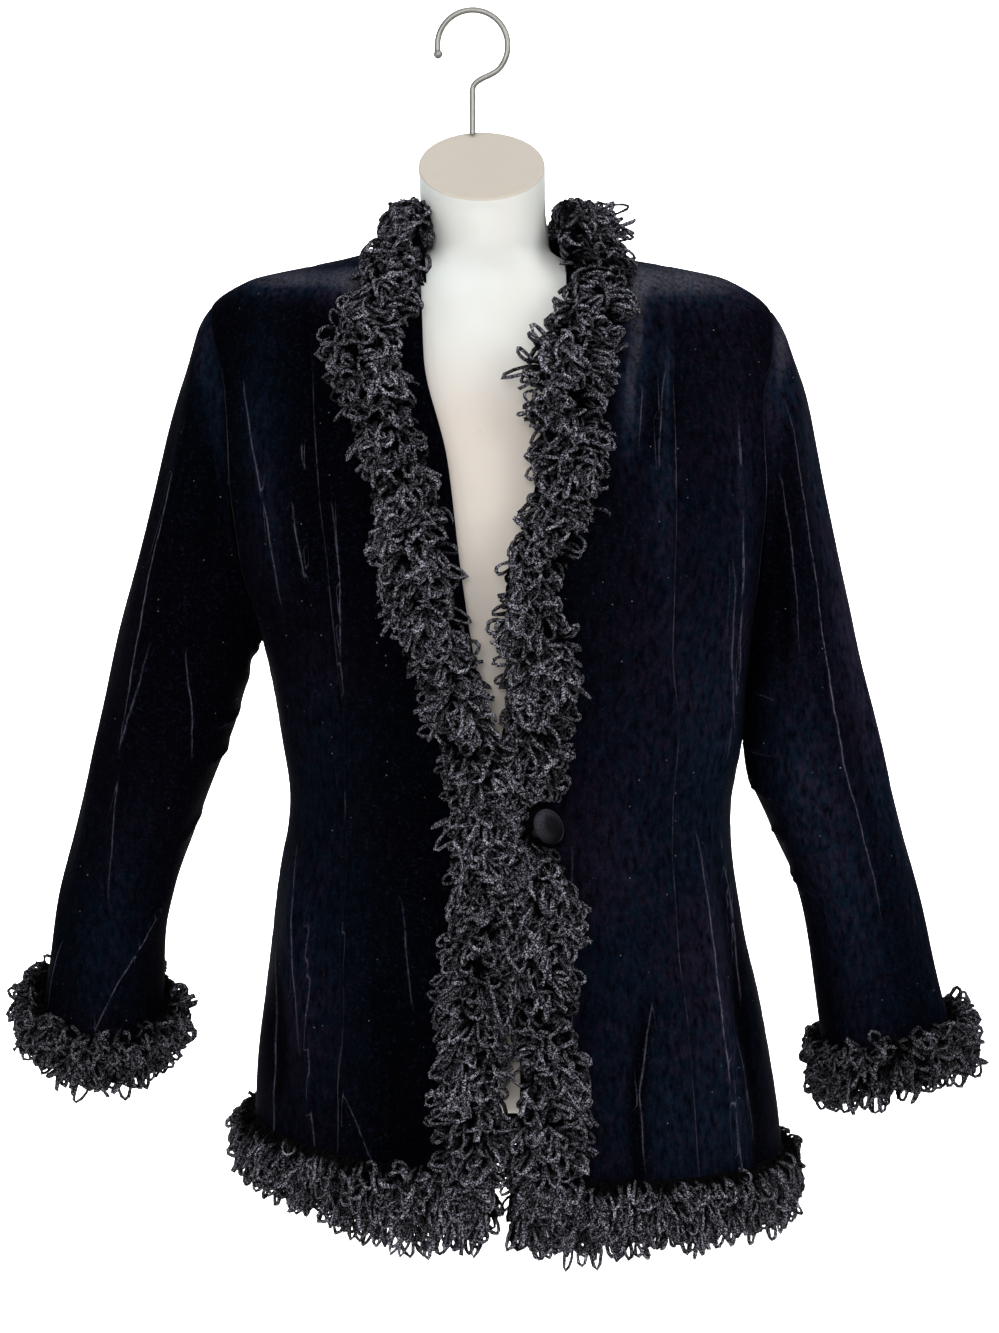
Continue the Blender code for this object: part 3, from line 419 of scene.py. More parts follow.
# Yarn of the trim
SEED = 7
YARN = 0.00158  # half thickness
YARN_SIDES = 3
YARN_TWIST = 0.35  # turn of the strand at each step, in radians
YARN_UNEVEN = 0.14  # how much its thickness varies along a loop
YARN_EXTREME = 1.5  # most that it varies, in standard deviations
YARN_WEIGHTS = (0.82, 1.18)  # least and greatest thickness of a whole loop, as a share
LOOP_STEPS = 12
LOOP_FLOP = 0.52  # how far a tip may fall to a side, as a share of its length
LOOP_TWISTS = (0.0010, 0.0045)  # least and greatest that a loop leaves its own plane
LOOP_REACHES = (0.50, 1.10)  # least and greatest length of a loop, as a share of the usual
LOOP_HANGS = (0.4, 1.5)  # least and greatest droop, as a share of the trim's own
LOOP_BUNCHING = 0.20  # how much the length varies along a trim
ALONG_TURNS = 8  # turns of the twist pattern along a loop
WANDER_PHASE = 6.28  # latest start of a wave, in radians
WANDER_WAVES = ((23, 1.0), (41, 0.7), (77, 0.5))  # waves along a trim, share of each
PALE_TUFT = ((0.024, -0.549), 0.009, 1.6)  # x and z of a paler tuft on the fronts, half size, strength
TAPE_HALF = 0.011
TRIM_INSET = 0.0008  # nearest that a front trim's loops start to the front edge
TAPE_LIFT = 0.0012
TAPE_GRID = (90, 5)
ACROSS_STEP = 0.15  # step to either side over which the way across a tape is measured

# Each trim: its number of loops, its own seed for bunching, how its loops lean, and where its tape lies
FRONT_LOOPS = 1900
HEM_LOOPS = 2450
CUFF_LOOPS = 880
COLLAR_LOOPS = 1650
FRONT_SEEDS = {"right": 13, "left": 11}
CUFF_SEEDS = {"right": 19, "left": 17}
HEM_SEED = 31
COLLAR_SEED = 47
LOOP_LENGTH = 0.0215
HEM_LOOP_LENGTH = 0.0200
FRONT_LEAN = 1.05  # at the tape's edges, in radians
HEM_LEAN = (-0.70, 0.55)  # in the middle of the tape, and the change to its edge
CUFF_LEAN = (-0.40, 0.75)
COLLAR_LEAN = (0.25, 1.20)
COLLAR_INNER_LEAN = 0.1
FRONT_TRIM_FOOT = 0.002  # its start above the hem
FRONT_TRIM_TOP_Z = -0.176
FRONT_TRIM_SWING = 0.003  # how far its middle wanders to either side
HEM_TAPE_HALF = 0.012
HEM_END_GAP = 0.004  # from a front edge to the end of the hem's trim
CUFF_TRIM_MIDDLE = 0.985  # as a share of the sleeve's length
CUFF_TAPE_HALF = 0.013
CUFF_SHORT = {"right": 0, "left": 0.22}  # how much shorter its loops are at the inner side
CUFF_SHORT_HALF = 0.2
COLLAR_TRIM_END_DEG = 139
COLLAR_TAPE = (0.52, 0.46)  # middle and half width, as shares of the collar's height
COLLAR_TAPE_TOP = 0.98  # rise at which its loops go over to the inner side
COLLAR_INNER_FALL = 0.9  # fall of the rise there, for each half width of the tape
COLLAR_OVER = 1.6  # how far over the collar's top edge the loops go on
COLLAR_END_TURN = math.radians(127)  # past this its loops turn to cover its end
COLLAR_END_LEAN = 1.1
COLLAR_TOP_SHORT = (0.70, 0.75, 0.50)  # how much shorter its loops are near the top, where, half width

# How the front trims bunch: height, sway of the middle away from the front edge, share of the usual length
TRIM_SHAPE = {
    "right": (
        (-0.848, 0.000, 1.00),
        (-0.805, -0.006, 1.20),
        (-0.760, 0.000, 1.00),
        (-0.560, 0.000, 1.05),
        (-0.475, -0.004, 0.95),
        (-0.385, -0.006, 0.95),
        (-0.285, 0.000, 1.10),
        (-0.245, 0.001, 1.15),
        (-0.215, -0.008, 0.85),
        (-0.175, -0.009, 0.80),
    ),
    "left": (
        (-0.848, 0.001, 1.05),
        (-0.800, -0.007, 1.20),
        (-0.755, 0.000, 1.05),
        (-0.684, 0.000, 1.00),
        (-0.640, 0.000, 1.00),
        (-0.592, -0.009, 0.75),
        (-0.545, -0.004, 0.92),
        (-0.475, 0.003, 1.00),
        (-0.425, -0.012, 1.10),
        (-0.385, 0.000, 1.00),
        (-0.352, 0.006, 1.00),
        (-0.314, 0.003, 1.12),
        (-0.285, -0.012, 1.45),
        (-0.258, -0.010, 1.40),
        (-0.205, 0.004, 1.00),
        (-0.172, 0.004, 1.10),
    ),
}
# Degrees round the hem from the centre front, and the share of the usual length of its loops
HEM_REACH = (
    (0, 1.00),
    (35, 0.92),
    (60, 0.78),
    (95, 0.95),
    (180, 1.00),
    (270, 0.95),
    (290, 0.85),
    (322, 1.28),
    (345, 1.05),
    (364, 1.00),
)
# Degrees round the collar from the back: length of the loops on its inner side, and the share of the
# usual length on its outer side
COLLAR_INNER_REACH = ((-139, 0.003), (-40, 0.004), (40, 0.006), (90, 0.006), (139, 0.003))
COLLAR_REACH = ((-139, 1.05), (-90, 0.90), (0, 1.00), (85, 1.85), (139, 1.40))

# Colours, as linear red, green and blue
VELVET_BLUE_BLACK = (0.0003, 0.0005, 0.0014)
VELVET_PURPLE_BLACK = (0.0008, 0.0003, 0.0013)
VELVET_FIBRE = (0.0070, 0.0085, 0.0190)
VELVET_LIT_BLUE = (0.0070, 0.0150, 0.0310)
VELVET_LIT_PURPLE = (0.0215, 0.0180, 0.0370)
VELVET_FROST_SHEEN = (0.110, 0.108, 0.122)
VELVET_SHADE = (0.0002, 0.0002, 0.0003)
VELVET_BESIDE_LINE_SHEEN = (0.046, 0.041, 0.075)
VELVET_LINE_HIGHLIGHT = (0.105, 0.100, 0.130)
VELVET_LINT = (0.130, 0.128, 0.135)
VELVET_SHEEN = (0.62, 0.66, 1.0)
YARN_BLACK = (0.0018, 0.0018, 0.0026)
YARN_CHARCOAL = (0.016, 0.0155, 0.020)
YARN_FLECK_HIGHLIGHT = (0.500, 0.490, 0.580)
YARN_STRAND_SHADE = (0.0030, 0.0030, 0.0040)
YARN_ROOT_SHADE = (0.0012, 0.0012, 0.0016)
FORM_WARM = (0.67, 0.605, 0.54)
FORM_COOL = (0.72, 0.765, 0.75)
CAP_WARM = (0.53, 0.47, 0.40)
CAP_PALE = (0.573, 0.523, 0.457)
SCUFF_SHADE = 0.86
STEEL_DARK = (0.17, 0.165, 0.155)
STEEL_BRIGHT = (0.36, 0.35, 0.33)
BUTTON_BLACK = (0.002, 0.002, 0.003)
BUTTON_LIT = (0.046, 0.048, 0.058)
BUTTON_RIM_HIGHLIGHT = (0.150, 0.150, 0.175)
PAPER = (0.93, 0.93, 0.93)

# Stage, lights and camera
FLOOR_Z = -1.30
STAGE_STEPS = 60
STAGE_HALF_WIDTH = 7
STAGE_HALF_RUN = 7.2
STAGE_START_Y = -4.8
STAGE_BEND = 8.0  # how far from its start the floor begins to curve up
STAGE_BEND_RADIUS = 1.2
SKY_STRENGTH = 0.38
LENS = 79.435
SENSOR = 36
VIEW_REACH = 50
CAMERA_PLACE = (0.019875, -2.2, -0.321)
CAMERA_AIM = (0.019875, 0, -0.4834)
# Name, place, aim, size, power and spread in degrees
LIGHTS = (
    ("key", (1.9, -1.8, 0.7), (0.05, 0, -0.45), (1.2, 1.6), 25, 180),
    ("front", (-0.3, -3.2, 0.3), (0, 0, -0.5), (1.1, 1.1), 28, 180),
    ("fill", (-1.9, -1.7, 0.4), (0.0, 0, -0.35), (1.2, 1.6), 12, 180),
    ("overhead", (0.1, -0.8, 1.4), (0.02, 0, -0.25), (2.4, 1.2), 13, 180),
    ("backdrop", (0.0, 2.0, 2.6), (0, 3.6, -0.8), (5.0, 1.6), 300, 95),
)

random = np.random.default_rng(SEED)


def smooth_values(rows, column, key):
    """Values of a column on a monotone cubic through the rows, for an array of keys."""
    keys = np.array([row[0] for row in rows], float)
    values = np.array([row[column] for row in rows], float)
    steps = np.diff(keys)
    rises = np.diff(values) / steps
    same_way, total = rises[:-1] * rises[1:], rises[:-1] + rises[1:]
    inner = np.where(same_way > 0, 2 * same_way / np.where(total == 0, 1, total), 0)
    slopes = np.concatenate(([rises[0]], inner, [rises[-1]]))
    at = np.clip(key, keys[0], keys[-1])
    i = np.clip(np.searchsorted(keys, at, side="right") - 1, 0, len(keys) - 2)
    t = (at - keys[i]) / steps[i]
    start, end = slopes[i] * steps[i], slopes[i + 1] * steps[i]
    rise = values[i + 1] - values[i]
    return values[i] + t * (start + t * (3 * rise - 2 * start - end + t * (start + end - 2 * rise)))


def looked_up(columns, rows):
    """A function that gives a named column of a table, for an array of keys."""
    places = {name: i for i, name in enumerate(columns)}
    return lambda name, key: smooth_values(rows, places[name], np.asarray(key, float))


body = looked_up(BODY_COLUMNS, BODY)
front = looked_up(FRONT_COLUMNS, FRONT)
form_size = looked_up(FORM_COLUMNS, FORM)
collar_size = looked_up(COLLAR_COLUMNS, COLLAR)
sleeve_size = {side: looked_up(SLEEVE_COLUMNS, rows) for side, rows in SLEEVES.items()}


def bell(distance, half_width):
    return np.exp(-((distance / half_width) ** 2))


def unit(vectors):
    return vectors / np.maximum(np.linalg.norm(vectors, axis=-1, keepdims=True), 1e-9)


def points(x, y, z):
    return np.stack(np.broadcast_arrays(x, y, z), axis=-1)


def uneven(key, fast, slow):
    """A wave whose spacing varies."""
    return np.sin(key * fast + 2 * np.sin(key * slow))


def solve(function, low, high):
    """Where a rising function of an array crosses zero, between two arrays."""
    low, high = np.array(low, float), np.array(high, float)
    for _ in range(HALVINGS):
        middle = (low + high) / 2
        below = function(middle) < 0
        low, high = np.where(below, middle, low), np.where(below, high, middle)
    return (low + high) / 2


def section_radius(angle, half_width, depth, fullness):
    across = (np.abs(np.sin(angle)) / half_width) ** fullness
    along = (np.abs(np.cos(angle)) / depth) ** fullness
    return (across + along) ** (-1 / fullness)


def nearer_line(line, away, shows):
    """Joins a line to a line mark, which changes sign on each line and is as small as the nearer one."""
    mark = np.where(shows, np.minimum(np.abs(away) / LINE_REACH, 1), 1)
    return np.where(line * away < 0, -1, 1) * np.minimum(np.abs(line), mark)


def creases(rows, wanted, key, place, scale):
    """Height that a table of creases gives, and its marks on the velvet.

    key runs along each crease and place across it. The line mark changes sign on each crushed line, so
    the velvet can draw the line finer than the mesh. A ridge gets painted sheen to one side of its line,
    and a trough gets painted shade.
    """
    height, crush_highlight, nap_and_painted_light = np.zeros_like(key), np.zeros_like(key), np.zeros_like(key)
    line = np.ones_like(key)
    for i, (name, route, half_width, rise, pale) in enumerate(rows):
        keys = np.array([p[1] for p in route])
        places = np.array([p[0] for p in route])
        order = np.argsort(keys)
        keys, places = keys[order], places[order]
        share = (key - keys[0]) / (keys[-1] - keys[0])
        rounded = np.sin(np.pi * np.clip(share, 0, 1)) ** CREASE_FADE
        here = wanted(name)
        inside = np.where((share > 0) & (share < 1), rounded, 0) * here
        waver = CREASE_WAVER * (np.sin(key * 61 + i) + 0.6 * np.sin(key * 173 + 2.4 * i))
        away = (place - np.interp(key, keys, places)) * scale - waver
        height += rise * inside * bell(away, half_width)
        if pale:
            crush_highlight = np.maximum(crush_highlight, pale * inside * bell(away, CREASE_BAND * LINE_REACH))
            line = np.where(here, nearer_line(line, away, inside > 0), line)
            lit_side = 1 if i % 3 == 0 else -1
            spread = np.where(away * lit_side > 0, LIT_SPREAD * half_width, FAR_SPREAD * half_width)
            strength = BROAD_SHEEN if half_width > BROAD_CREASE else FINE_SHEEN
            nap_and_painted_light += strength * pale * inside * bell(away, spread)
        if rise < 0:
            nap_and_painted_light -= TROUGH_SHADE * inside * bell(away, TROUGH_SPREAD * half_width)
    return height, {"crush_highlight": crush_highlight, "line": line, "nap_and_painted_light": nap_and_painted_light}


def painted_sheen(rows, name, across, along):
    """Painted sheen, from a table of soft patches."""
    pale = np.zeros_like(across)
    for where, middle, half, strength in rows:
        if where == name:
            pale += strength * bell(across - middle[0], half[0]) * bell(along - middle[1], half[1])
    return pale


def cloth_wave(angle, z):
    """Slow unevenness of hanging cloth."""
    height = 0 * z
    for turns, along, start, share in CLOTH_WAVES:
        height = height + share * np.sin(turns * angle + along * z + start)
    return CLOTH_WAVE * height


def body_points(angle, z, with_marks=False):
    """Outer face of the body. Angle 0 is the centre front, 90 degrees the wearer's left side."""
    angle, z = np.broadcast_arrays(np.asarray(angle, float), np.asarray(z, float))
    ahead = np.cos(angle) > 0
    depth = np.where(ahead, body("front", z), body("back", z))
    radius = section_radius(angle, body("half_width", z), depth, FULLNESS)
    plain_x = body("centre", z) + radius * np.sin(angle)
    height, marks = creases(
        BODY_CREASES, lambda name: ahead if name == "front" else ~ahead, z, plain_x, 1.0
    )
    radius = radius + height + cloth_wave(angle, z)
    across = radius * np.sin(angle)
    drop = body("tilt", z) * across + body("front_drop", z) * np.maximum(0, np.cos(angle))
    place = points(body("centre", z) + across, MID_Y - radius * np.cos(angle), z - drop)
    if not with_marks:
        return place
    marks["nap_and_painted_light"] += np.where(ahead, painted_sheen(SHEEN_PATCHES, "front", plain_x, z), painted_sheen(SHEEN_PATCHES, "back", plain_x, z))
    return place, marks


def body_normals(angle, z):
    z = np.clip(z, HEM_Z, NECK_Z - HEIGHT_STEP)
    along_angle = body_points(angle + ANGLE_STEP, z) - body_points(angle - ANGLE_STEP, z)
    along_z = body_points(angle, z + HEIGHT_STEP) - body_points(angle, z - HEIGHT_STEP)
    return unit(np.cross(along_angle, along_z))


def front_angle(x, z):
    """Angle on the front where the section at this height reaches x."""
    x, z = np.broadcast_arrays(np.asarray(x, float), np.asarray(z, float))

    def beyond(angle):
        radius = section_radius(angle, body("half_width", z), body("front", z), FULLNESS)
        return body("centre", z) + radius * np.sin(angle) - x

    quarter = np.full(z.shape, math.pi / 2)
    return solve(beyond, -quarter, quarter)


def side_angle(z, face):
    """Where a panel ends at the side: side seam, armhole or shoulder seam, as a positive angle."""
    opening = ARMHOLE_DEPTH * np.sqrt(np.maximum(0, 1 - ((z - ARMHOLE_MIDDLE_Z) / ARMHOLE_HALF) ** 2))
    depth, quarter = body(face, z), np.full(z.shape, math.pi / 2)

    def short_of(angle):
        radius = section_radius(angle, body("half_width", z), depth, FULLNESS)
        return opening - radius * np.abs(np.cos(angle))

    if face == "front":
        found = solve(short_of, 0 * quarter, quarter)
    else:
        found = solve(lambda angle: -short_of(angle), quarter, 2 * quarter)
    return np.where(opening > 0, found, quarter)


def princess_angle(side, z):
    reach = np.minimum(front("princess", z), PRINCESS_LIMIT * body("half_width", z))
    return np.abs(front_angle(body("centre", z) + SIDES[side] * reach, z))


def back_neck_angle(z):
    """Centre back, or above it the neckline's edge, as a positive angle."""
    share = np.clip((NECK_Z - z) / (NECK_Z - BACK_NECK_Z), 0, 1)
    reach = np.minimum(BACK_NECK_HALF * np.sqrt(1 - share**2), BACK_NECK_LIMIT * body("half_width", z))
    quarter = np.full(z.shape, math.pi / 2)

    def inside(angle):
        radius = section_radius(angle, body("half_width", z), body("back", z), FULLNESS)
        return reach - radius * np.sin(angle)

    return np.where(z <= BACK_NECK_Z, 2 * quarter, solve(inside, quarter, 2 * quarter))


def shoulder_meeting():
    """Height at which the princess seam runs into the shoulder seam."""
    low, high = np.array([SHOULDER_Z]), np.array([NECK_Z])
    return float(solve(lambda z: front("princess", z) - body("half_width", z), low, high)[0])


def panel_heights(top, scoop=False):
    """Rows from the hem to a panel's top, close together at the armhole's ends and round a neck scoop."""
    skirt = np.linspace(HEM_Z, UNDERARM_Z, SKIRT_ROWS)[:-1]
    armhole = ARMHOLE_MIDDLE_Z - ARMHOLE_HALF * np.cos(np.linspace(0, math.pi, ARMHOLE_ROWS))
    if scoop:
        rise = NECK_Z - BACK_NECK_Z
        neck = BACK_NECK_Z + rise * (1 - np.cos(np.linspace(0, math.pi / 2, NECK_ROWS)))
        below_neck = np.linspace(SHOULDER_Z, BACK_NECK_Z, BACK_SHOULDER_ROWS)[1:-1]
        shoulder = np.concatenate((below_neck, neck))
    else:
        shoulder = np.linspace(SHOULDER_Z, top, SHOULDER_ROWS)[1:]
    return np.concatenate((skirt, armhole, shoulder))


def grid_mesh(name, columns, rows):
    """A flat grid of quads with a UV map, and its vertices' order by row and column."""
    shape = bmesh.new()
    shape.loops.layers.uv.new("cloth")
    bmesh.ops.create_grid(shape, x_segments=columns, y_segments=rows, size=0.5, calc_uvs=True)
    mesh = bpy.data.meshes.new(name)
    shape.to_mesh(mesh)
    shape.free()
    flat = np.round(vertex_places(mesh), 6)
    order = np.lexsort((flat[:, 0], flat[:, 1]))
    return mesh, order.reshape(rows + 1, columns + 1)


def vertex_places(mesh):
    flat = np.empty(len(mesh.vertices) * 3)
    mesh.vertices.foreach_get("co", flat)
    return flat.reshape(-1, 3)


def give_values(mesh, name, values):
    """Gives each vertex its value of a named attribute."""
    layer = mesh.attributes.new(name, "FLOAT", "POINT")
    layer.data.foreach_set("value", values)


def place_grid(mesh, order, grid, **attributes):
    """Moves a grid's vertices to their places and gives each its attributes."""
    flat = np.empty((len(mesh.vertices), 3))
    flat[order.ravel()] = grid.reshape(-1, 3)
    mesh.vertices.foreach_set("co", flat.ravel())
    for name, values in attributes.items():
        spread = np.zeros(len(mesh.vertices))
        spread[order.ravel()] = values.ravel()
        give_values(mesh, name, spread)
    mesh.update()


def shown(mesh, material):
    """Puts a mesh in the scene, shaded smooth, as an object of the same name."""
    mesh.materials.append(material)
    mesh.shade_smooth()
    thing = bpy.data.objects.new(mesh.name, mesh)
    bpy.context.scene.collection.objects.link(thing)
    return thing


def shown_cloth(mesh, velvet):
    """Puts a cloth sheet in the scene and gives it its thickness, inwards."""
    thing = shown(mesh, velvet)
    wall = thing.modifiers.new("thickness", "SOLIDIFY")
    wall.thickness = CLOTH
    wall.offset = -1
    wall.use_rim = True
    return thing


def weld(mesh):
    """Closes a tube or cap whose grid edges meet."""
    shape = bmesh.new()
    shape.from_mesh(mesh)
    bmesh.ops.remove_doubles(shape, verts=shape.verts[:], dist=WELD_GAP)
    shape.to_mesh(mesh)
    shape.free()


def back_start(z):
    """Where a back begins: at the side seam, and at the shoulder a little under the front."""
    return side_angle(z, "back") - SHOULDER_LAP * np.clip((z - SHOULDER_Z) / LAP_RISE, 0, 1)


def make_panel(name, side, near, far, rows, columns, seams, velvet, lap=0.0):
    """A body panel between two positive angles; seams says which sides are sewn, or sewn and lined pale, a
    painted highlight.

    lap is how far the panel sinks where it reaches under the front.
    """
    if SIDES[side] > 0:
        start, end, sewn = near(rows), far(rows), seams
    else:
        start, end, sewn = -far(rows), -near(rows), seams[::-1]
    share = np.linspace(0, 1, columns + 1)
    angle = start[:, None] + (end - start)[:, None] * share
    z = np.broadcast_to(rows[:, None], angle.shape)
    place, marks = body_points(angle, z, with_marks=True)
    run = np.linalg.norm(np.diff(place, axis=1), axis=2)
    along = np.concatenate((np.zeros((len(rows), 1)), np.cumsum(run, axis=1)), axis=1)
    sink = np.zeros_like(z)
    for is_sewn, distance in zip(sewn, (along, along[:, -1:] - along)):
        sink -= (SEWN_SINK if is_sewn else EDGE_SINK) * bell(distance, SEAM_HALF)
        if is_sewn:
            pucker = bell(distance - PUCKER_PLACE, PUCKER_HALF) * uneven(z, 410, 61)
            sink += PUCKER_HEIGHT * pucker
        if is_sewn == "lined":
            # A pale line beside the seam: crushed pile drawn as a painted highlight.
            past = distance - SEAM_LINE - CREASE_WAVER * np.sin(z * 90)
            shows = np.clip((SEAM_LINE_TOP - z) / SEAM_LINE_FADE, 0, 1) * (0.6 + 0.4 * uneven(z, 37, 90))
            pale = SEAM_LINE_HIGHLIGHT * shows * bell(past, EDGE_BAND * LINE_REACH)
            marks["crush_highlight"] = np.maximum(marks["crush_highlight"], pale)
            marks["line"] = nearer_line(marks["line"], past, shows > 0)
    sink -= lap * np.clip((math.pi / 2 - np.abs(angle)) / LAP_SLOPE, 0, 1)
    place = place + sink[..., None] * points(np.sin(angle), -np.cos(angle), 0 * z)
    mesh, order = grid_mesh(name, columns, len(rows) - 1)
    place_grid(mesh, order, place, **marks)
    return shown_cloth(mesh, velvet)


def sleeve_ring(side, step, turn):
    """A ring of a sleeve by its table. Turn 0 is its outer side, a quarter turn its front."""
    size = sleeve_size[side]
    share = step / (len(SLEEVES[side]) - 1)
    across, forward = np.cos(turn), np.sin(turn)
    outer_x, inner_x = size("outer_x", step), size("inner_x", step)
    outer_z, inner_z = size("outer_z", step), size("inner_z", step)
    x = (outer_x + inner_x) / 2 + (outer_x - inner_x) / 2 * across
    z = (outer_z + inner_z) / 2 + (outer_z - inner_z) / 2 * across - CUFF_DROP[side] * share**2 * forward
    return points(x, size("mid_y", step) - size("half_depth", step) * forward, z)


def armhole_points(side, turn):
    z = ARMHOLE_MIDDLE_Z + ARMHOLE_HALF * np.cos(turn)
    offset = ARMHOLE_DEPTH * np.sin(turn)
    depth = np.where(offset > 0, body("front", z), body("back", z))
    across = body("half_width", z) * (1 - (np.abs(offset) / depth) ** FULLNESS) ** (1 / FULLNESS)
    across = across * SIDES[side]
    return points(body("centre", z) + across, MID_Y - offset, z - body("tilt", z) * across)


def sleeve_points(side, along, turn):
    """Outer face of a sleeve before its creases, from the armhole (0) to the cuff (1)."""
    along, turn = np.broadcast_arrays(np.asarray(along, float), np.asarray(turn, float))
    step = along * (len(SLEEVES[side]) - 1)
    fade = np.clip(1 - step / ARMHOLE_BLEND, 0, 1) ** 2
    shift = armhole_points(side, turn) - sleeve_ring(side, 0 * step, turn)
    return sleeve_ring(side, step, turn) + shift * fade[..., None]


def sleeve_normals(side, along, turn):
    along = np.clip(along, SHARE_STEP, 1 - SHARE_STEP)
    along_turn = sleeve_points(side, along, turn + TURN_STEP) - sleeve_points(side, along, turn - TURN_STEP)
    further, nearer = along + SHARE_STEP, along - SHARE_STEP
    along_length = sleeve_points(side, further, turn) - sleeve_points(side, nearer, turn)
    return unit(np.cross(along_turn, along_length)) * SIDES[side]


def creased_sleeve(side, along, turn):
    """Outer face of a sleeve with its creases and seams, and its marks on the velvet."""
    degrees = np.degrees(np.mod(turn, 2 * math.pi))
    degree_run = math.radians(1) * SLEEVE_RADIUS
    height, marks = creases(SLEEVE_CREASES, lambda name: name == side, along, degrees, degree_run)
    height = height + SLEEVE_WAVE * (np.sin(3 * turn + 31 * along) + np.sin(7 * turn - 23 * along + 0.7))
    folded = np.maximum(0, np.sin(turn)) * np.clip(0.45 - 1.3 * np.cos(turn), 0, 1)
    seam = (0.3 + 0.7 * folded) * bell(along * SLEEVE_LENGTH, SLEEVE_SEAM_HALF)
    under_seam = bell((degrees - UNDER_SEAM_DEG) * degree_run, UNDER_SEAM_HALF)
    height = height - SLEEVE_SEAM_SINK * seam - UNDER_SEAM_SINK * under_seam
    # Painted shade in the fold beside the armhole, and a painted highlight on the sleeve's edge just past
    # it.
    past = along * SLEEVE_LENGTH - ARMHOLE_SHADE
    pale = FOLD_EDGE_HIGHLIGHT * folded * bell(past, EDGE_BAND * LINE_REACH)
    marks["crush_highlight"] = np.maximum(marks["crush_highlight"], pale)
    marks["line"] = nearer_line(marks["line"], past, folded > 0)
    marks["nap_and_painted_light"] += painted_sheen(SHEEN_PATCHES, "sleeve_" + side, degrees, along)
    marks["nap_and_painted_light"] -= FOLD_SHADE * folded * np.where(past < 0, 1, bell(past, FOLD_FADE))
    place = sleeve_points(side, along, turn) + height[..., None] * sleeve_normals(side, along, turn)
    return place, marks


def make_sleeve(side, velvet):
    columns, rows = SLEEVE_GRID
    share = np.linspace(0, 1, columns + 1)
    turn = 2 * math.pi * share * SIDES[side]
    along = np.linspace(0, 1, rows + 1) ** SLEEVE_CROWDING
    along, turn = np.broadcast_arrays(along[:, None], turn[None, :])
    place, marks = creased_sleeve(side, along, turn)
    place[0, :, 0] -= SIDES[side] * SLEEVE_LAP
    mesh, order = grid_mesh(f"sleeve_{side}_velvet", columns, rows)
    place_grid(mesh, order, place, **marks)
    weld(mesh)
    return shown_cloth(mesh, velvet)


def collar_points(angle, rise):
    """Outer face of the collar. Angle 0 is the centre back, and rise goes from 0 to 1."""
    degrees = np.degrees(angle)
    radius = collar_size("radius", degrees) + COLLAR_FLARE * rise**2
    across = radius * np.sin(angle)
    height = collar_size("base_z", degrees) + COLLAR_HEIGHT * rise - COLLAR_TILT * across
    return points(COLLAR_AXIS[0] + across, COLLAR_AXIS[1] + radius * np.cos(angle), height)


def collar_run(angle, rise):
    return collar_points(angle + ANGLE_STEP, rise) - collar_points(angle - ANGLE_STEP, rise)


def collar_normals(angle, rise):
    up = collar_points(angle, rise + RISE_STEP) - collar_points(angle, rise - RISE_STEP)
    return -unit(np.cross(collar_run(angle, rise), up))


def make_collar(velvet):
    columns, rows = COLLAR_GRID
    ends = np.radians([COLLAR[-1][0], COLLAR[0][0]])
    angle, rise = np.meshgrid(np.linspace(*ends, columns + 1), np.linspace(0, 1, rows + 1))
    mesh, order = grid_mesh("collar_velvet", columns, rows)
    unmarked = {"crush_highlight": 0 * rise, "line": 0 * rise + 1, "nap_and_painted_light": 0 * rise}
    place_grid(mesh, order, collar_points(angle, rise), **unmarked)
    return shown_cloth(mesh, velvet)


def wander(share, seed):
    """A slow uneven swing along a trim, between -1 and 1, as the loops bunch."""
    phase = np.random.default_rng(seed).uniform(0, WANDER_PHASE, len(WANDER_WAVES))
    swing = sum(part * np.sin(waves * share + start) for (waves, part), start in zip(WANDER_WAVES, phase))
    return swing / sum(part for _, part in WANDER_WAVES)


def yarn_loops(root, out, length, width, stem, droop, twist):
    """Rings of points along many loops of yarn: two legs rise as a stem, then part and round the tip.

    stem is the share of a loop's length below the place where its legs part.
    """
    count = len(root)
    t = np.linspace(0, 1, LOOP_STEPS + 1)
    helper = unit(random.normal(size=(count, 3)))
    wide = unit(np.cross(out, helper))
    third = np.cross(out, wide)
    round_tip = 2 * math.pi * np.clip((t * LOOP_STEPS - 1) / (LOOP_STEPS - 2), 0, 1)
    stem = stem[:, None] * np.where((t > 0) & (t < 1), 1, 0)
    reach = stem + (1 - stem) * (1 - np.cos(round_tip)) / 2
    sway = 0.5 * np.sin(round_tip)
    phase = random.uniform(0, 2 * math.pi, (count, 1))
    curl = twist[:, None] * np.sin(2 * math.pi * t + phase) * np.sin(math.pi * t)
    path = root[:, None, :] + out[:, None, :] * (length[:, None] * reach)[..., None]
    path += wide[:, None, :] * (width[:, None] * sway)[..., None]
    path += third[:, None, :] * curl[..., None]
    flop = unit(np.cross(out, random.normal(size=(count, 3)))) * random.uniform(0, LOOP_FLOP, (count, 1))
    flop *= length[:, None]
    path += flop[:, None, :] * (reach**3)[..., None]
    path[..., 2] -= droop[:, None] * reach**2
    run = unit(np.gradient(path, axis=1))
    aside = unit(np.cross(run, third[:, None, :] + 0.001))
    upward = np.cross(aside, run)
    varied = random.normal(size=(count, LOOP_STEPS + 1)).clip(-YARN_EXTREME, YARN_EXTREME)
    thick = YARN * (1 + YARN_UNEVEN * varied)
    thick *= random.uniform(*YARN_WEIGHTS, (count, 1))
    corners = np.arange(YARN_SIDES) * 2 * math.pi / YARN_SIDES
    corners = corners + (YARN_TWIST * np.arange(LOOP_STEPS + 1))[:, None]
    spokes = np.cos(corners)[..., None] * aside[..., None, :]
    spokes = spokes + np.sin(corners)[..., None] * upward[..., None, :]
    return path[..., None, :] + spokes * thick[..., None, None]


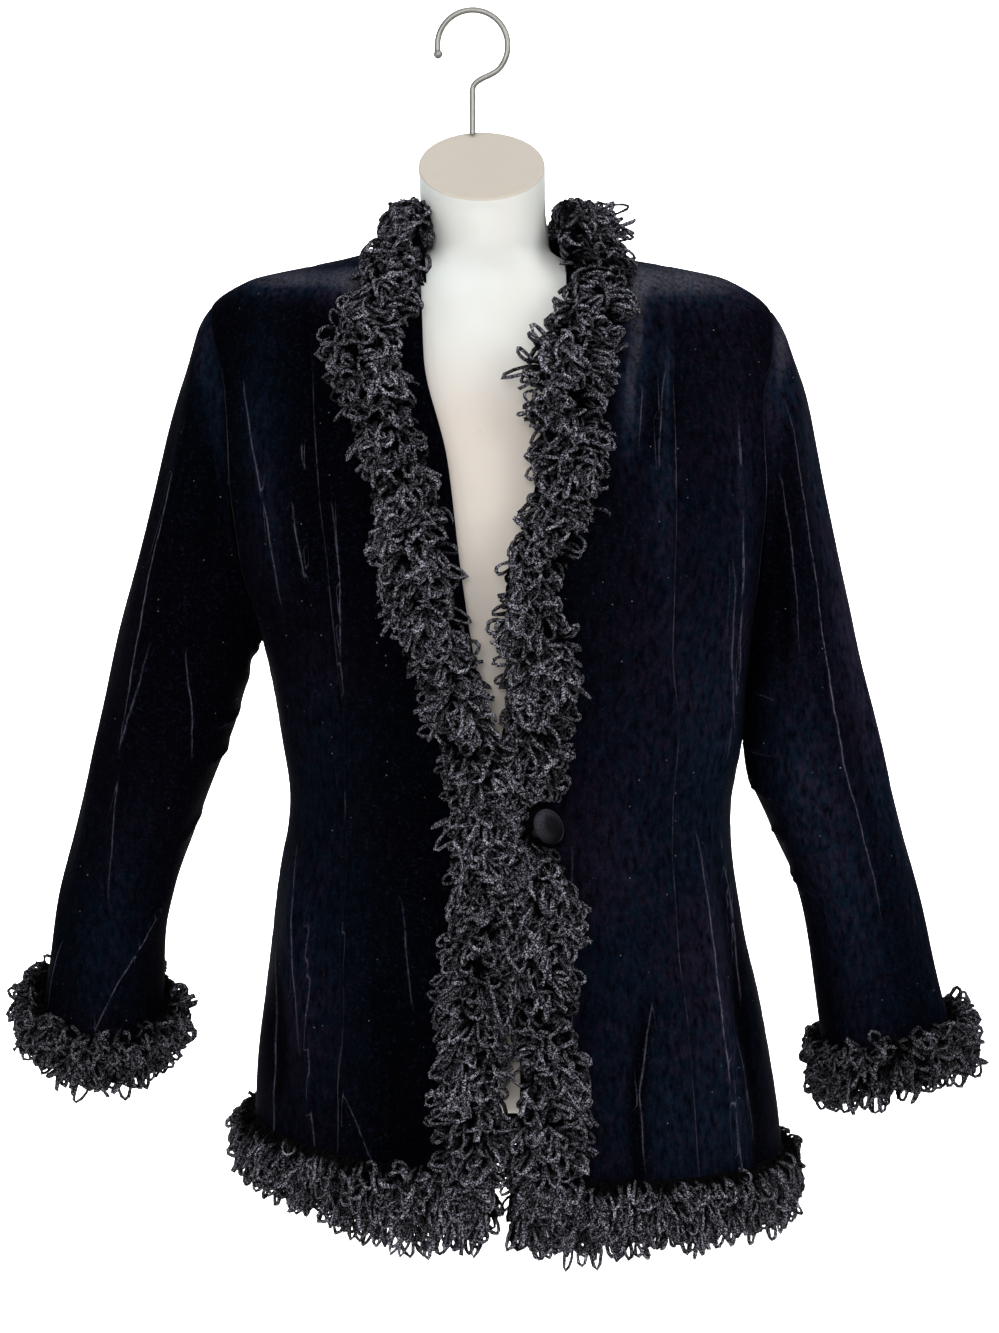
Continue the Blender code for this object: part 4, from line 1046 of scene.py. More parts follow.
def loops_mesh(name, rings, tape, reach_share, lightness):
    """Joins all loops of a trim, and the tape below them, in one mesh from arrays."""
    count, steps, sides = len(rings), LOOP_STEPS + 1, YARN_SIDES
    start = (np.arange(count) * steps * sides)[:, None, None]
    step, corner = np.meshgrid(np.arange(LOOP_STEPS), np.arange(sides), indexing="ij")
    beyond = (corner + 1) % sides
    low, high = step * sides, (step + 1) * sides
    quad = np.stack((low + corner, low + beyond, high + beyond, high + corner), -1)
    quads = (start + quad.reshape(1, -1, 4)).reshape(-1, 4)
    cap = np.arange(sides)[None, :]
    ends = np.concatenate((start[:, 0, :] + cap[:, ::-1], start[:, 0, :] + LOOP_STEPS * sides + cap))
    along = np.broadcast_to(np.linspace(0, 1, steps)[None, :, None], rings.shape[:3])
    around = np.broadcast_to(np.arange(sides)[None, None, :] / sides, rings.shape[:3])
    middle, half, strength = PALE_TUFT
    tuft = strength * bell(np.linalg.norm(rings.mean(axis=(1, 2))[:, (0, 2)] - middle, axis=1), half)
    tone = lightness * random.uniform(0, 1, (count, 1, 1)) + tuft[:, None, None]
    tone = np.broadcast_to(tone, rings.shape[:3])
    depth = np.broadcast_to(reach_share[:, None, None] * np.sin(math.pi * along), rings.shape[:3])
    rows, columns = tape.shape[:2]
    r, c = np.meshgrid(np.arange(rows - 1), np.arange(columns - 1), indexing="ij")
    corner = count * steps * sides + r * columns + c
    strip = np.stack((corner, corner + 1, corner + columns + 1, corner + columns), -1).reshape(-1, 4)
    place = np.concatenate((rings.reshape(-1, 3), tape.reshape(-1, 3)))
    # The tape has depth 0, so it takes the painted root shade.
    bare = np.zeros(rows * columns)
    values = {"along": along * ALONG_TURNS, "around": around, "tone": tone, "depth": depth}
    sizes = np.concatenate((np.full(len(quads) + len(strip), 4), np.full(len(ends), sides)))
    corners = np.concatenate((quads.ravel(), strip.ravel(), ends.ravel()))
    mesh = bpy.data.meshes.new(name)
    mesh.vertices.add(len(place))
    mesh.vertices.foreach_set("co", place.ravel())
    mesh.loops.add(len(corners))
    mesh.loops.foreach_set("vertex_index", corners.astype(np.int32))
    mesh.polygons.add(len(sizes))
    mesh.polygons.foreach_set("loop_start", (np.cumsum(sizes) - sizes).astype(np.int32))
    mesh.update(calc_edges=True)
    for key, value in values.items():
        give_values(mesh, key, np.concatenate((value.ravel(), bare)))
    mesh.validate()
    return mesh


def make_trim(
    name,
    surface,
    normals,
    loops,
    length,
    leaning,
    yarn,
    seed,
    droop=0.006,
    widths=(0.0070, 0.0120),
    stems=(0.25, 0.55),
    unruly=0.33,
    clear_of=None,
    lightness=1.0,
    over=1.0,
):
    """A trim: loops scattered over a tape, standing out in a round cushion.

    surface(share, across) gives points on the panel, normals(share, across) its outward side, and
    length(share, across) how far the loops reach. leaning(across) is a loop's lean to the across side,
    in radians, for across from -1 to 1, or up to over where the loops go past an edge. seed sets how
    the loops bunch, droop how far their tips hang and unruly how much their leans differ. widths and
    stems are the least and greatest of those sizes, and lightness scales the tone. clear_of is a
    point and a distance within which no loop comes.
    """
    share = (np.arange(loops) + random.uniform(0, 1, loops)) / loops
    across = random.uniform(-1, over, loops)
    up = normals(share, across)
    root = surface(share, across) + up * TAPE_LIFT
    aside = unit(surface(share, across + ACROSS_STEP) - surface(share, across - ACROSS_STEP))
    onward = np.cross(up, aside)
    lean = leaning(across) + random.normal(0, unruly, loops)
    swing = random.normal(0, unruly, loops)
    out = unit(up * np.cos(lean)[:, None] + aside * np.sin(lean)[:, None] + onward * swing[:, None])
    reach_share = random.uniform(*LOOP_REACHES, loops) * (1 + LOOP_BUNCHING * wander(share, seed))
    wide = random.uniform(*widths, loops)
    hang = droop * random.uniform(*LOOP_HANGS, loops)
    twist = random.uniform(*LOOP_TWISTS, loops)
    stem = random.uniform(*stems, loops)
    rings = yarn_loops(root, out, length(share, across) * reach_share, wide, stem, hang, twist)
    if clear_of is not None:
        gap = np.linalg.norm(rings - clear_of[0], axis=-1).min(axis=(1, 2))
        rings, reach_share = rings[gap > clear_of[1]], reach_share[gap > clear_of[1]]
    rows, columns = TAPE_GRID
    tape = np.meshgrid(np.linspace(0, 1, rows), np.linspace(-1, 1, columns), indexing="ij")
    tape_share, tape_across = tape[0].ravel(), tape[1].ravel()
    lifted = surface(tape_share, tape_across) + normals(tape_share, tape_across) * TAPE_LIFT
    lifted = lifted.reshape(rows, columns, 3)
    return shown(loops_mesh(name, rings, lifted, np.clip(reach_share, 0, 1), lightness), yarn)


def make_front_trim(side, yarn):
    low, high = HEM_Z + FRONT_TRIM_FOOT, FRONT_TRIM_TOP_Z
    seed = FRONT_SEEDS[side]
    shape = looked_up(("z", "sway", "reach"), TRIM_SHAPE[side])

    def place(share, across):
        z = low + (high - low) * share
        offset = front(side + "_trim", z) + shape("sway", z) + FRONT_TRIM_SWING * wander(share, seed)
        offset = np.maximum(offset + across * TAPE_HALF, TRIM_INSET)
        return front_angle(front(side + "_edge", z) + SIDES[side] * offset, z), z

    return make_trim(
        f"trim_front_{side}_loops",
        lambda share, across: body_points(*place(share, across)),
        lambda share, across: body_normals(*place(share, across)),
        FRONT_LOOPS,
        lambda share, across: LOOP_LENGTH * shape("reach", low + (high - low) * share),
        lambda across: FRONT_LEAN * across,
        yarn,
        seed,
        clear_of=(np.array(button_middle()), BUTTON_CLEAR),
    )


def make_hem_trim(yarn):
    z = HEM_Z + HEM_TAPE_HALF

    def end_angle(side):
        reach = front(side + "_edge", z) + SIDES[side] * HEM_END_GAP
        return float(front_angle(np.array([reach]), np.array([z]))[0])

    start, end = end_angle("left"), end_angle("right") + 2 * math.pi

    def place(share, across):
        return start + (end - start) * share, np.maximum(z + across * HEM_TAPE_HALF, HEM_Z)

    def reach(share, across):
        degrees = np.degrees(start + (end - start) * share)
        return HEM_LOOP_LENGTH * smooth_values(HEM_REACH, 1, degrees)

    return make_trim(
        "trim_hem_loops",
        lambda share, across: body_points(*place(share, across)),
        lambda share, across: body_normals(*place(share, across)),
        HEM_LOOPS,
        reach,
        lambda across: HEM_LEAN[0] + HEM_LEAN[1] * across,
        yarn,
        HEM_SEED,
        droop=0.010,
        widths=(0.0065, 0.0100),
        stems=(0.20, 0.62),
        unruly=0.22,
    )


def make_cuff_trim(side, yarn):
    def place(share, across):
        return np.minimum(CUFF_TRIM_MIDDLE - across * CUFF_TAPE_HALF, 1.0), 2 * math.pi * share

    return make_trim(
        f"trim_cuff_{side}_loops",
        lambda share, across: sleeve_points(side, *place(share, across)),
        lambda share, across: sleeve_normals(side, *place(share, across)),
        CUFF_LOOPS,
        lambda share, across: LOOP_LENGTH * (1 - CUFF_SHORT[side] * bell(share - 0.5, CUFF_SHORT_HALF)),
        lambda across: CUFF_LEAN[0] + CUFF_LEAN[1] * across,
        yarn,
        CUFF_SEEDS[side],
        droop=0.004,
        widths=(0.0065, 0.0110),
        lightness=0.35,
    )


def make_collar_trim(yarn):
    end = math.radians(COLLAR_TRIM_END_DEG)
    middle, half = COLLAR_TAPE
    shorter, short_place, short_half = COLLAR_TOP_SHORT

    def place(share, across):
        """Over the collar's top edge the loops go on down its inner side."""
        inner_rise = COLLAR_TAPE_TOP - (across - 1) * COLLAR_INNER_FALL
        return end * (1 - 2 * share), np.where(across <= 1, middle + across * half, inner_rise)

    def facing(share, across):
        """Square to the collar, and turned past its front ends near them."""
        angle, rise = place(share, across)
        outward = collar_normals(angle, rise) * np.where(across <= 1, 1, -1)[..., None]
        along = unit(collar_run(angle, rise))
        near_end = np.clip((np.abs(angle) - COLLAR_END_TURN) / (end - COLLAR_END_TURN), 0, 1)
        return unit(outward + (COLLAR_END_LEAN * np.sign(angle) * near_end)[..., None] * along)

    def surface(share, across):
        inside = np.where(across <= 1, 0, CLOTH + 2 * TAPE_LIFT)
        return collar_points(*place(share, across)) + facing(share, across) * inside[..., None]

    def reach(share, across):
        degrees = COLLAR_TRIM_END_DEG * (1 - 2 * share)
        upright = 1 - shorter * bell(across - short_place, short_half)
        outer = LOOP_LENGTH * upright * smooth_values(COLLAR_REACH, 1, degrees)
        return np.where(across <= 1, outer, smooth_values(COLLAR_INNER_REACH, 1, degrees))

    def leaning(across):
        return np.where(across <= 1, COLLAR_LEAN[0] + COLLAR_LEAN[1] * across, COLLAR_INNER_LEAN)

    return make_trim(
        "trim_collar_loops",
        surface,
        facing,
        COLLAR_LOOPS,
        reach,
        leaning,
        yarn,
        COLLAR_SEED,
        over=COLLAR_OVER,
    )


def spun(name, outline, steps):
    """A turned shape about its own Z axis, from an outline of radius and height."""
    shape = bmesh.new()
    verts = [shape.verts.new((r, 0, h)) for r, h in outline]
    edges = [shape.edges.new(pair) for pair in zip(verts, verts[1:])]
    bmesh.ops.spin(
        shape,
        geom=verts + edges,
        axis=(0, 0, 1),
        cent=(0, 0, 0),
        angle=2 * math.pi,
        steps=steps,
        use_merge=True,
    )
    bmesh.ops.remove_doubles(shape, verts=shape.verts[:], dist=1e-6)
    bmesh.ops.recalc_face_normals(shape, faces=shape.faces[:])
    mesh = bpy.data.meshes.new(name)
    shape.to_mesh(mesh)
    shape.free()
    return mesh


def button_facing():
    turn = math.radians(BUTTON_TURN_DEG)
    return Vector((math.sin(turn), -math.cos(turn), BUTTON_RISE)).normalized()


def button_middle():
    z = np.array([BUTTON_Z])
    angle = front_angle(front("left_edge", z) + front("left_trim", z) - BUTTON_INSET, z)
    seat = Vector((body_points(angle, z) + body_normals(angle, z) * BUTTON_SEAT)[0])
    return seat + button_facing() * BUTTON_STAND


def make_button(cover):
    """A cloth-covered domed button on a shank, turned towards the wearer's left, with painted sheen and a
    painted rim highlight.
    """
    half = BUTTON_THICK / 2
    outline = []
    for k in range(DOME_STEPS + 1):
        lift = math.pi / 2 * k / DOME_STEPS
        outline.append((BUTTON_RADIUS * math.sin(lift), half * math.cos(lift) ** DOME_POWER))
    for k in range(1, UNDER_STEPS + 1):
        tuck = math.sin(math.pi / 2 * k / UNDER_STEPS)
        outline.append((BUTTON_RADIUS * (1 - UNDER_TUCK * tuck**2), -half * UNDER_DEPTH * tuck))
    foot = SHANK_FOOT - BUTTON_STAND
    outline.append((SHANK_HEAD_RADIUS, -half * SHANK_HEAD_DEPTH))
    outline.append((SHANK_RADIUS, -half - SHANK_NECK))
    outline += [(SHANK_RADIUS, foot), (0.0, foot)]
    mesh = spun("button_covered", outline, BUTTON_SIDES)
    across, up, _ = vertex_places(mesh).T / BUTTON_RADIUS
    radial = np.hypot(across, up)
    # Painted sheen, brightest towards the upper left, and a painted highlight round the rim.
    sheen = np.clip(0.45 + 0.55 * (up - 0.7 * across), 0, 1) * np.clip(3 * radial - 1.0, 0.25, 1)
    give_values(mesh, "sheen", sheen)
    give_values(mesh, "rim_highlight", bell(radial - RIM_PLACE, RIM_HALF) * np.clip(across + 0.3 * up, 0, 1))
    mesh.transform(button_facing().to_track_quat("Z", "Y").to_matrix().to_4x4())
    mesh.transform(Matrix.Translation(button_middle()))
    return shown(mesh, cover)


def neck_cut_z(y):
    """Height of the slanted neck cut's plane."""
    return NECK_CUT_Z + NECK_CUT_SLOPE * (y - NECK_CUT_CENTRE[1])


def form_grid():
    """Rings of the torso from its base to the slanted neck cut and on to the middle of the cap."""
    angle = np.linspace(0, 2 * math.pi, FORM_SIDES + 1)
    rings = [points(*(0 * angle + place for place in FORM_BASE))]
    foot = FOOT_Z + FOOT_RISE * np.linspace(0, 1, FOOT_RINGS) ** FOOT_CROWDING
    for z in np.concatenate((foot, *(np.linspace(*row) for row in FORM_RINGS))):
        depth = np.where(np.cos(angle) > 0, form_size("front", z), form_size("back", z))
        radius = section_radius(angle, form_size("half_width", z), depth, FORM_FULLNESS)
        x = form_size("centre", z) + radius * np.sin(angle)
        rings.append(points(x, form_size("mid_y", z) - radius * np.cos(angle), 0 * angle + z))

    def cut(share, drop):
        y = NECK_CUT_CENTRE[1] - share * NECK_CUT_HALF[1] * np.cos(angle)
        x = NECK_CUT_CENTRE[0] + share * NECK_CUT_HALF[0] * np.sin(angle)
        return points(x, y, neck_cut_z(y) - drop)

    below, top = rings[-1], cut(*CAP_RINGS[0])
    for k in range(1, NECK_STEPS):
        rings.append(below + (top - below) * k / NECK_STEPS)
    for share, drop in CAP_RINGS:
        rings.append(cut(share, drop))
    return np.stack(rings)


def make_form(plastic, cap):
    """The torso form, with the cap on its neck in a finish of its own."""
    grid = form_grid()
    mesh, order = grid_mesh("torso_form_shell", FORM_SIDES, len(grid) - 1)
    place_grid(mesh, order, grid)
    mesh.materials.append(plastic)
    weld(mesh)
    thing = shown(mesh, cap)
    lowest = grid[1 - len(CAP_RINGS) :, :, 2].min() - CAP_SLACK
    for face in mesh.polygons:
        middle = face.center
        on_cap = middle.z > neck_cut_z(middle.y) - CAP_BAND and middle.z > lowest
        face.material_index = 1 if on_cap else 0
    return thing


def on_crook(angle):
    """A point of the crook's middle line."""
    centre = Vector((0, 0, WIRE / 2 - CROOK_RADIUS))
    return centre + CROOK_RADIUS * Vector((math.cos(angle), 0, math.sin(angle)))


def hook_route():
    """The wire's middle line, from its foot in the neck up the stem and round the crook."""
    rise = STEM_TOP_Z - STEM_FOOT_Z
    route = [Vector((0, 0, STEM_FOOT_Z + rise * i / STEM_STEPS)) for i in range(STEM_STEPS + 1)]
    first, last = math.radians(CROOK_FROM_DEG), math.radians(CROOK_TO_DEG)
    foot, join = route[-1], on_crook(first)
    reach = (join - foot).length
    start = Vector((0, 0, reach))
    end = Vector((-math.sin(first), 0, math.cos(first))) * reach
    for i in range(1, BEND_STEPS):
        t = i / BEND_STEPS
        step = (2 * t**3 - 3 * t**2 + 1) * foot + (t**3 - 2 * t**2 + t) * start
        route.append(step + (3 * t**2 - 2 * t**3) * join + (t**3 - t**2) * end)
    for i in range(CROOK_STEPS + 1):
        route.append(on_crook(first + (last - first) * i / CROOK_STEPS))
    return route


def make_hook(steel):
    """Round wire with a small ball on its tip."""
    route = hook_route()
    line = bpy.data.curves.new("wire_line", "CURVE")
    line.dimensions = "3D"
    spline = line.splines.new("POLY")
    spline.points.add(len(route) - 1)
    for spot, place in zip(spline.points, route):
        spot.co = (*place, 1)
    line.bevel_depth = WIRE / 2
    line.bevel_resolution = WIRE_ROUNDING
    line.use_fill_caps = True
    holder = bpy.data.objects.new("wire_line", line)
    bpy.context.scene.collection.objects.link(holder)
    mesh = bpy.data.meshes.new_from_object(holder.evaluated_get(bpy.context.evaluated_depsgraph_get()))
    mesh.name = "hook_wire"
    bpy.data.objects.remove(holder)
    shape = bmesh.new()
    shape.from_mesh(mesh)
    run = (route[-1] - route[-2]).normalized()
    sides, rings = BALL_SIDES
    ball = bmesh.ops.create_uvsphere(shape, u_segments=sides, v_segments=rings, radius=HOOK_BALL / 2)
    bmesh.ops.translate(shape, verts=ball["verts"], vec=route[-1] + run * HOOK_BALL * BALL_OFFSET)
    shape.to_mesh(mesh)
    shape.free()
    mesh.materials.clear()
    return shown(mesh, steel)


class Finish:
    """A material, with short ways to add the nodes that the finishes here share."""

    def __init__(self, name):
        self.material = bpy.data.materials.new(name)
        self.material.use_nodes = True
        self.nodes = self.material.node_tree.nodes
        self.links = self.material.node_tree.links
        self.shader = self.nodes["Principled BSDF"]

    def add(self, kind, **settings):
        """A node with its inputs or its own settings set by name."""
        node = self.nodes.new(kind)
        for key, value in settings.items():
            if key in node.inputs:
                node.inputs[key].default_value = value
            else:
                setattr(node, key, value)
        return node

    def place(self):
        """Where a point is on the object."""
        return self.add("ShaderNodeTexCoord").outputs["Object"]

    def noise(self, scale, detail, roughness, place=None):
        node = self.add("ShaderNodeTexNoise", Scale=scale, Detail=detail, Roughness=roughness)
        self.links.new(self.place() if place is None else place, node.inputs["Vector"])
        return node.outputs["Fac"]

    def attribute(self, name):
        return self.add("ShaderNodeAttribute", attribute_name=name).outputs["Fac"]

    def worked_out(self, operation, *values):
        """A sum, product or the like of sockets and numbers."""
        node = self.add("ShaderNodeMath", operation=operation)
        for socket, value in zip(node.inputs, values):
            if hasattr(value, "is_output"):
                self.links.new(value, socket)
            else:
                socket.default_value = value
        return node.outputs[0]

    def product(self, first, second):
        return self.worked_out("MULTIPLY", first, second)

    def ramp(self, socket, low, high):
        """A socket stretched so that low gives 0 and high gives 1."""
        node = self.add("ShaderNodeMapRange", clamp=True)
        node.inputs["From Min"].default_value = low
        node.inputs["From Max"].default_value = high
        self.links.new(socket, node.inputs["Value"])
        return node.outputs["Result"]

    def mixed(self, factor, low, high):
        """A colour between two, by a factor socket. Each colour is a value or a socket."""
        mix = self.add("ShaderNodeMix", data_type="RGBA")
        self.links.new(factor, mix.inputs["Factor"])
        colours = [socket for socket in mix.inputs if socket.type == "RGBA"]
        for socket, colour in zip(colours, (low, high)):
            if hasattr(colour, "is_output"):
                self.links.new(colour, socket)
            else:
                socket.default_value = (*colour, 1)
        return next(socket for socket in mix.outputs if socket.type == "RGBA")

    def bump(self, height, strength, distance, over=None):
        """A bump's normal, over another bump's where one is given."""
        node = self.add("ShaderNodeBump", Strength=strength, Distance=distance)
        self.links.new(height, node.inputs["Height"])
        if over is not None:
            self.links.new(over, node.inputs["Normal"])
        return node.outputs["Normal"]

    def shade(self, sockets, values):
        """Links sockets to the shader's inputs, sets its other values and gives the material."""
        for name, socket in sockets.items():
            self.links.new(socket, self.shader.inputs[name])
        for name, value in values.items():
            self.shader.inputs[name].default_value = value
        return self.material


def velvet_material():
    """Black velvet pile: blue and purple casts, fine nap and lint, painted sheen, frost sheen and shade, and
    crushed pale lines drawn as painted highlights.
    """
    velvet = Finish("black_velvet")
    cast = velvet.noise(scale=7.0, detail=3.0, roughness=0.6)
    nap_and_painted_light = velvet.noise(scale=420.0, detail=3.0, roughness=0.65)
    mosaic = velvet.noise(scale=150.0, detail=3.0, roughness=0.7)
    drawn = velvet.add("ShaderNodeVectorMath", operation="MULTIPLY")
    drawn.inputs[1].default_value = (1, 1, 0.40)
    velvet.links.new(velvet.place(), drawn.inputs[0])
    streaks = velvet.noise(scale=260.0, detail=4.0, roughness=0.65, place=drawn.outputs[0])
    streak = velvet.ramp(streaks, 0.30, 0.64)
    shade = velvet.ramp(velvet.worked_out("ADD", cast, mosaic), 0.92, 1.16)
    colour = velvet.mixed(shade, VELVET_BLUE_BLACK, VELVET_PURPLE_BLACK)
    fine = velvet.ramp(nap_and_painted_light, 0.52, 0.80)
    colour = velvet.mixed(velvet.product(fine, streak), colour, VELVET_FIBRE)
    # Painted light from the mesh: sheen above 0, frost sheen above 0.8, shade below 0.
    painted_light = velvet.attribute("nap_and_painted_light")
    lit = velvet.mixed(shade, VELVET_LIT_BLUE, VELVET_LIT_PURPLE)
    pale = velvet.product(velvet.ramp(painted_light, 0.0, 1.0), streak)
    colour = velvet.mixed(pale, colour, lit)
    frost_sheen = velvet.product(velvet.ramp(painted_light, 0.8, 2.0), velvet.ramp(nap_and_painted_light, 0.30, 0.66))
    colour = velvet.mixed(frost_sheen, colour, VELVET_FROST_SHEEN)
    colour = velvet.mixed(velvet.ramp(painted_light, 0.0, -1.0), colour, VELVET_SHADE)
    # Crushed pile along lines, drawn as a thin painted highlight with dotted painted sheen beside it.
    away = velvet.worked_out("ABSOLUTE", velvet.attribute("line"))
    crush_highlight = velvet.attribute("crush_highlight")
    beside = velvet.product(velvet.ramp(away, 0.28, 0.0), velvet.ramp(nap_and_painted_light, 0.40, 0.62))
    beside = velvet.product(velvet.product(beside, crush_highlight), 0.6)
    colour = velvet.mixed(beside, colour, VELVET_BESIDE_LINE_SHEEN)
    thin = velvet.product(velvet.ramp(away, 0.10, 0.03), crush_highlight)
    broken = velvet.ramp(mosaic, 0.32, 0.58)
    colour = velvet.mixed(velvet.product(thin, broken), colour, VELVET_LINE_HIGHLIGHT)
    lint = velvet.add("ShaderNodeTexVoronoi", Scale=150.0, Randomness=1.0)
    velvet.links.new(velvet.place(), lint.inputs["Vector"])
    split = velvet.add("ShaderNodeSeparateColor")
    velvet.links.new(lint.outputs["Color"], split.inputs["Color"])
    chosen = velvet.ramp(split.outputs["Red"], 0.87, 0.88)
    near = velvet.ramp(lint.outputs["Distance"], 0.09, 0.05)
    colour = velvet.mixed(velvet.product(chosen, near), colour, VELVET_LINT)
    values = {
        "Roughness": 0.92,
        "Specular IOR Level": 0.01,
        "Sheen Weight": 0.008,
        "Sheen Roughness": 0.30,
        "Sheen Tint": (*VELVET_SHEEN, 1),
    }
    return velvet.shade({"Base Color": colour, "Normal": velvet.bump(nap_and_painted_light, 0.35, 0.0006)}, values)


def yarn_material():
    """Black and charcoal twisted yarn with painted highlights on light flecks, painted shade along one side
    of each strand and painted shade towards its roots.
    """
    yarn = Finish("boucle_yarn")
    fibre = yarn.noise(scale=900.0, detail=2.0, roughness=0.6)
    tone = yarn.attribute("tone")
    colour = yarn.mixed(tone, YARN_BLACK, YARN_CHARCOAL)
    # Light flecks in the fibre as painted highlights, stronger on lighter loops.
    fleck_highlight = yarn.product(yarn.ramp(fibre, 0.495, 0.575), yarn.ramp(tone, -0.35, 0.9))
    colour = yarn.mixed(fleck_highlight, colour, YARN_FLECK_HIGHLIGHT)
    # Painted shade in a stripe along one side of each strand, turning with its twist.
    strand_shade = yarn.ramp(yarn.attribute("around"), 0.50, 0.70)
    colour = yarn.mixed(strand_shade, colour, YARN_STRAND_SHADE)
    # Painted shade deep in the cushion, towards the loops' roots.
    shallow = yarn.ramp(yarn.attribute("depth"), 0.50, 0.98)
    colour = yarn.mixed(shallow, YARN_ROOT_SHADE, colour)
    ply = yarn.add("ShaderNodeCombineXYZ")
    yarn.links.new(yarn.attribute("along"), ply.inputs["X"])
    yarn.links.new(yarn.attribute("around"), ply.inputs["Y"])
    twist = yarn.add("ShaderNodeTexWave", Scale=2.2, Distortion=1.5, bands_direction="DIAGONAL")
    yarn.links.new(ply.outputs["Vector"], twist.inputs["Vector"])
    twisted = yarn.bump(twist.outputs["Fac"], 0.7, 0.0007)
    normal = yarn.bump(fibre, 0.5, 0.0004, over=twisted)
    values = {"Roughness": 0.72, "Specular IOR Level": 0.03, "Sheen Weight": 0.01, "Sheen Roughness": 0.4}
    return yarn.shade({"Base Color": colour, "Normal": normal}, values)


def plastic_material(name, low, high):
    """Smooth moulded white plastic with faint clouding and scuffs."""
    plastic = Finish(name)
    cloud = plastic.noise(scale=6.0, detail=4.0, roughness=0.55)
    height = plastic.add("ShaderNodeSeparateXYZ")
    plastic.links.new(plastic.place(), height.inputs[0])
    upper = plastic.ramp(height.outputs["Z"], -0.30, -0.20)
    clouded = plastic.ramp(cloud, 0.20, 0.50)
    colour = plastic.mixed(plastic.product(upper, clouded), low, high)
    scuff = plastic.noise(scale=70.0, detail=5.0, roughness=0.7)
    scuffed = tuple(SCUFF_SHADE * part for part in low)
    colour = plastic.mixed(plastic.ramp(scuff, 0.68, 0.80), colour, scuffed)
    rough = plastic.ramp(scuff, -0.9, 1.6)
    return plastic.shade({"Base Color": colour, "Roughness": rough}, {"Specular IOR Level": 0.4})


def steel_material():
    """Drawn steel wire with fine marks."""
    steel = Finish("wire_steel")
    marks = steel.noise(scale=320.0, detail=3.0, roughness=0.6)
    colour = steel.mixed(marks, STEEL_DARK, STEEL_BRIGHT)
    return steel.shade({"Base Color": colour, "Roughness": steel.ramp(marks, -0.6, 2.6)}, {"Metallic": 1.0})


def button_cover_material():
    """Short smooth velvet drawn tight over the button, with painted sheen and a painted rim highlight."""
    cover = Finish("button_cover")
    pile = cover.noise(scale=900.0, detail=2.0, roughness=0.6)
    fleck_highlight = cover.product(cover.ramp(pile, 0.25, 0.65), cover.attribute("sheen"))
    colour = cover.mixed(fleck_highlight, BUTTON_BLACK, BUTTON_LIT)
    colour = cover.mixed(cover.attribute("rim_highlight"), colour, BUTTON_RIM_HIGHLIGHT)
    values = {"Roughness": 0.60, "Specular IOR Level": 0.03, "Sheen Weight": 0.02, "Sheen Roughness": 0.4}
    return cover.shade({"Base Color": colour, "Normal": cover.bump(pile, 0.3, 0.0003)}, values)


def make_stage():
    """A pale floor that curves up into a backdrop."""
    shape = bmesh.new()
    bmesh.ops.create_grid(shape, x_segments=2, y_segments=STAGE_STEPS, size=1.0)
    for vert in shape.verts:
        run = (vert.co.y + 1) * STAGE_HALF_RUN
        y, z = run + STAGE_START_Y, FLOOR_Z
        if run > STAGE_BEND:
            turn = min((run - STAGE_BEND) / STAGE_BEND_RADIUS, math.pi / 2)
            upright = max(0, run - STAGE_BEND - STAGE_BEND_RADIUS * math.pi / 2)
            y = STAGE_BEND + STAGE_START_Y + STAGE_BEND_RADIUS * math.sin(turn)
            z = FLOOR_Z + STAGE_BEND_RADIUS * (1 - math.cos(turn)) + upright
        vert.co = (vert.co.x * STAGE_HALF_WIDTH, y, z)
    mesh = bpy.data.meshes.new("floor")
    bmesh.ops.recalc_face_normals(shape, faces=shape.faces[:])
    shape.to_mesh(mesh)
    shape.free()
    values = {"Base Color": (*PAPER, 1), "Roughness": 0.9, "Specular IOR Level": 0.1}
    floor = shown(mesh, Finish("pale_paper").shade({}, values))


def facing_turn(place, aim):
    """Turn of a lamp or camera at a place, so that it faces its aim."""
    return (Vector(aim) - Vector(place)).to_track_quat("-Z", "Y").to_euler()


def add_light(name, place, aim, size, power, spread):
    lamp = bpy.data.lights.new(name, "AREA")
    lamp.shape = "RECTANGLE"
    lamp.size, lamp.size_y = size
    lamp.energy = power
    lamp.spread = math.radians(spread)
    holder = bpy.data.objects.new(name, lamp)
    holder.location = place
    holder.rotation_euler = facing_turn(place, aim)
    bpy.context.scene.collection.objects.link(holder)


def light_and_camera():
    scene = bpy.context.scene
    world = bpy.data.worlds.new("studio")
    world.use_nodes = True
    sky = world.node_tree.nodes["Background"]
    sky.inputs["Color"].default_value = (1.0, 1.0, 1.0, 1)
    sky.inputs["Strength"].default_value = SKY_STRENGTH
    scene.world = world
    for row in LIGHTS:
        add_light(*row)
    camera = bpy.data.cameras.new("camera")
    camera.lens = LENS
    camera.sensor_width = SENSOR
    camera.clip_end = VIEW_REACH
    holder = bpy.data.objects.new("camera", camera)
    holder.location = CAMERA_PLACE
    holder.rotation_euler = facing_turn(CAMERA_PLACE, CAMERA_AIM)
    scene.collection.objects.link(holder)
    scene.camera = holder
    scene.view_settings.view_transform = "Standard"


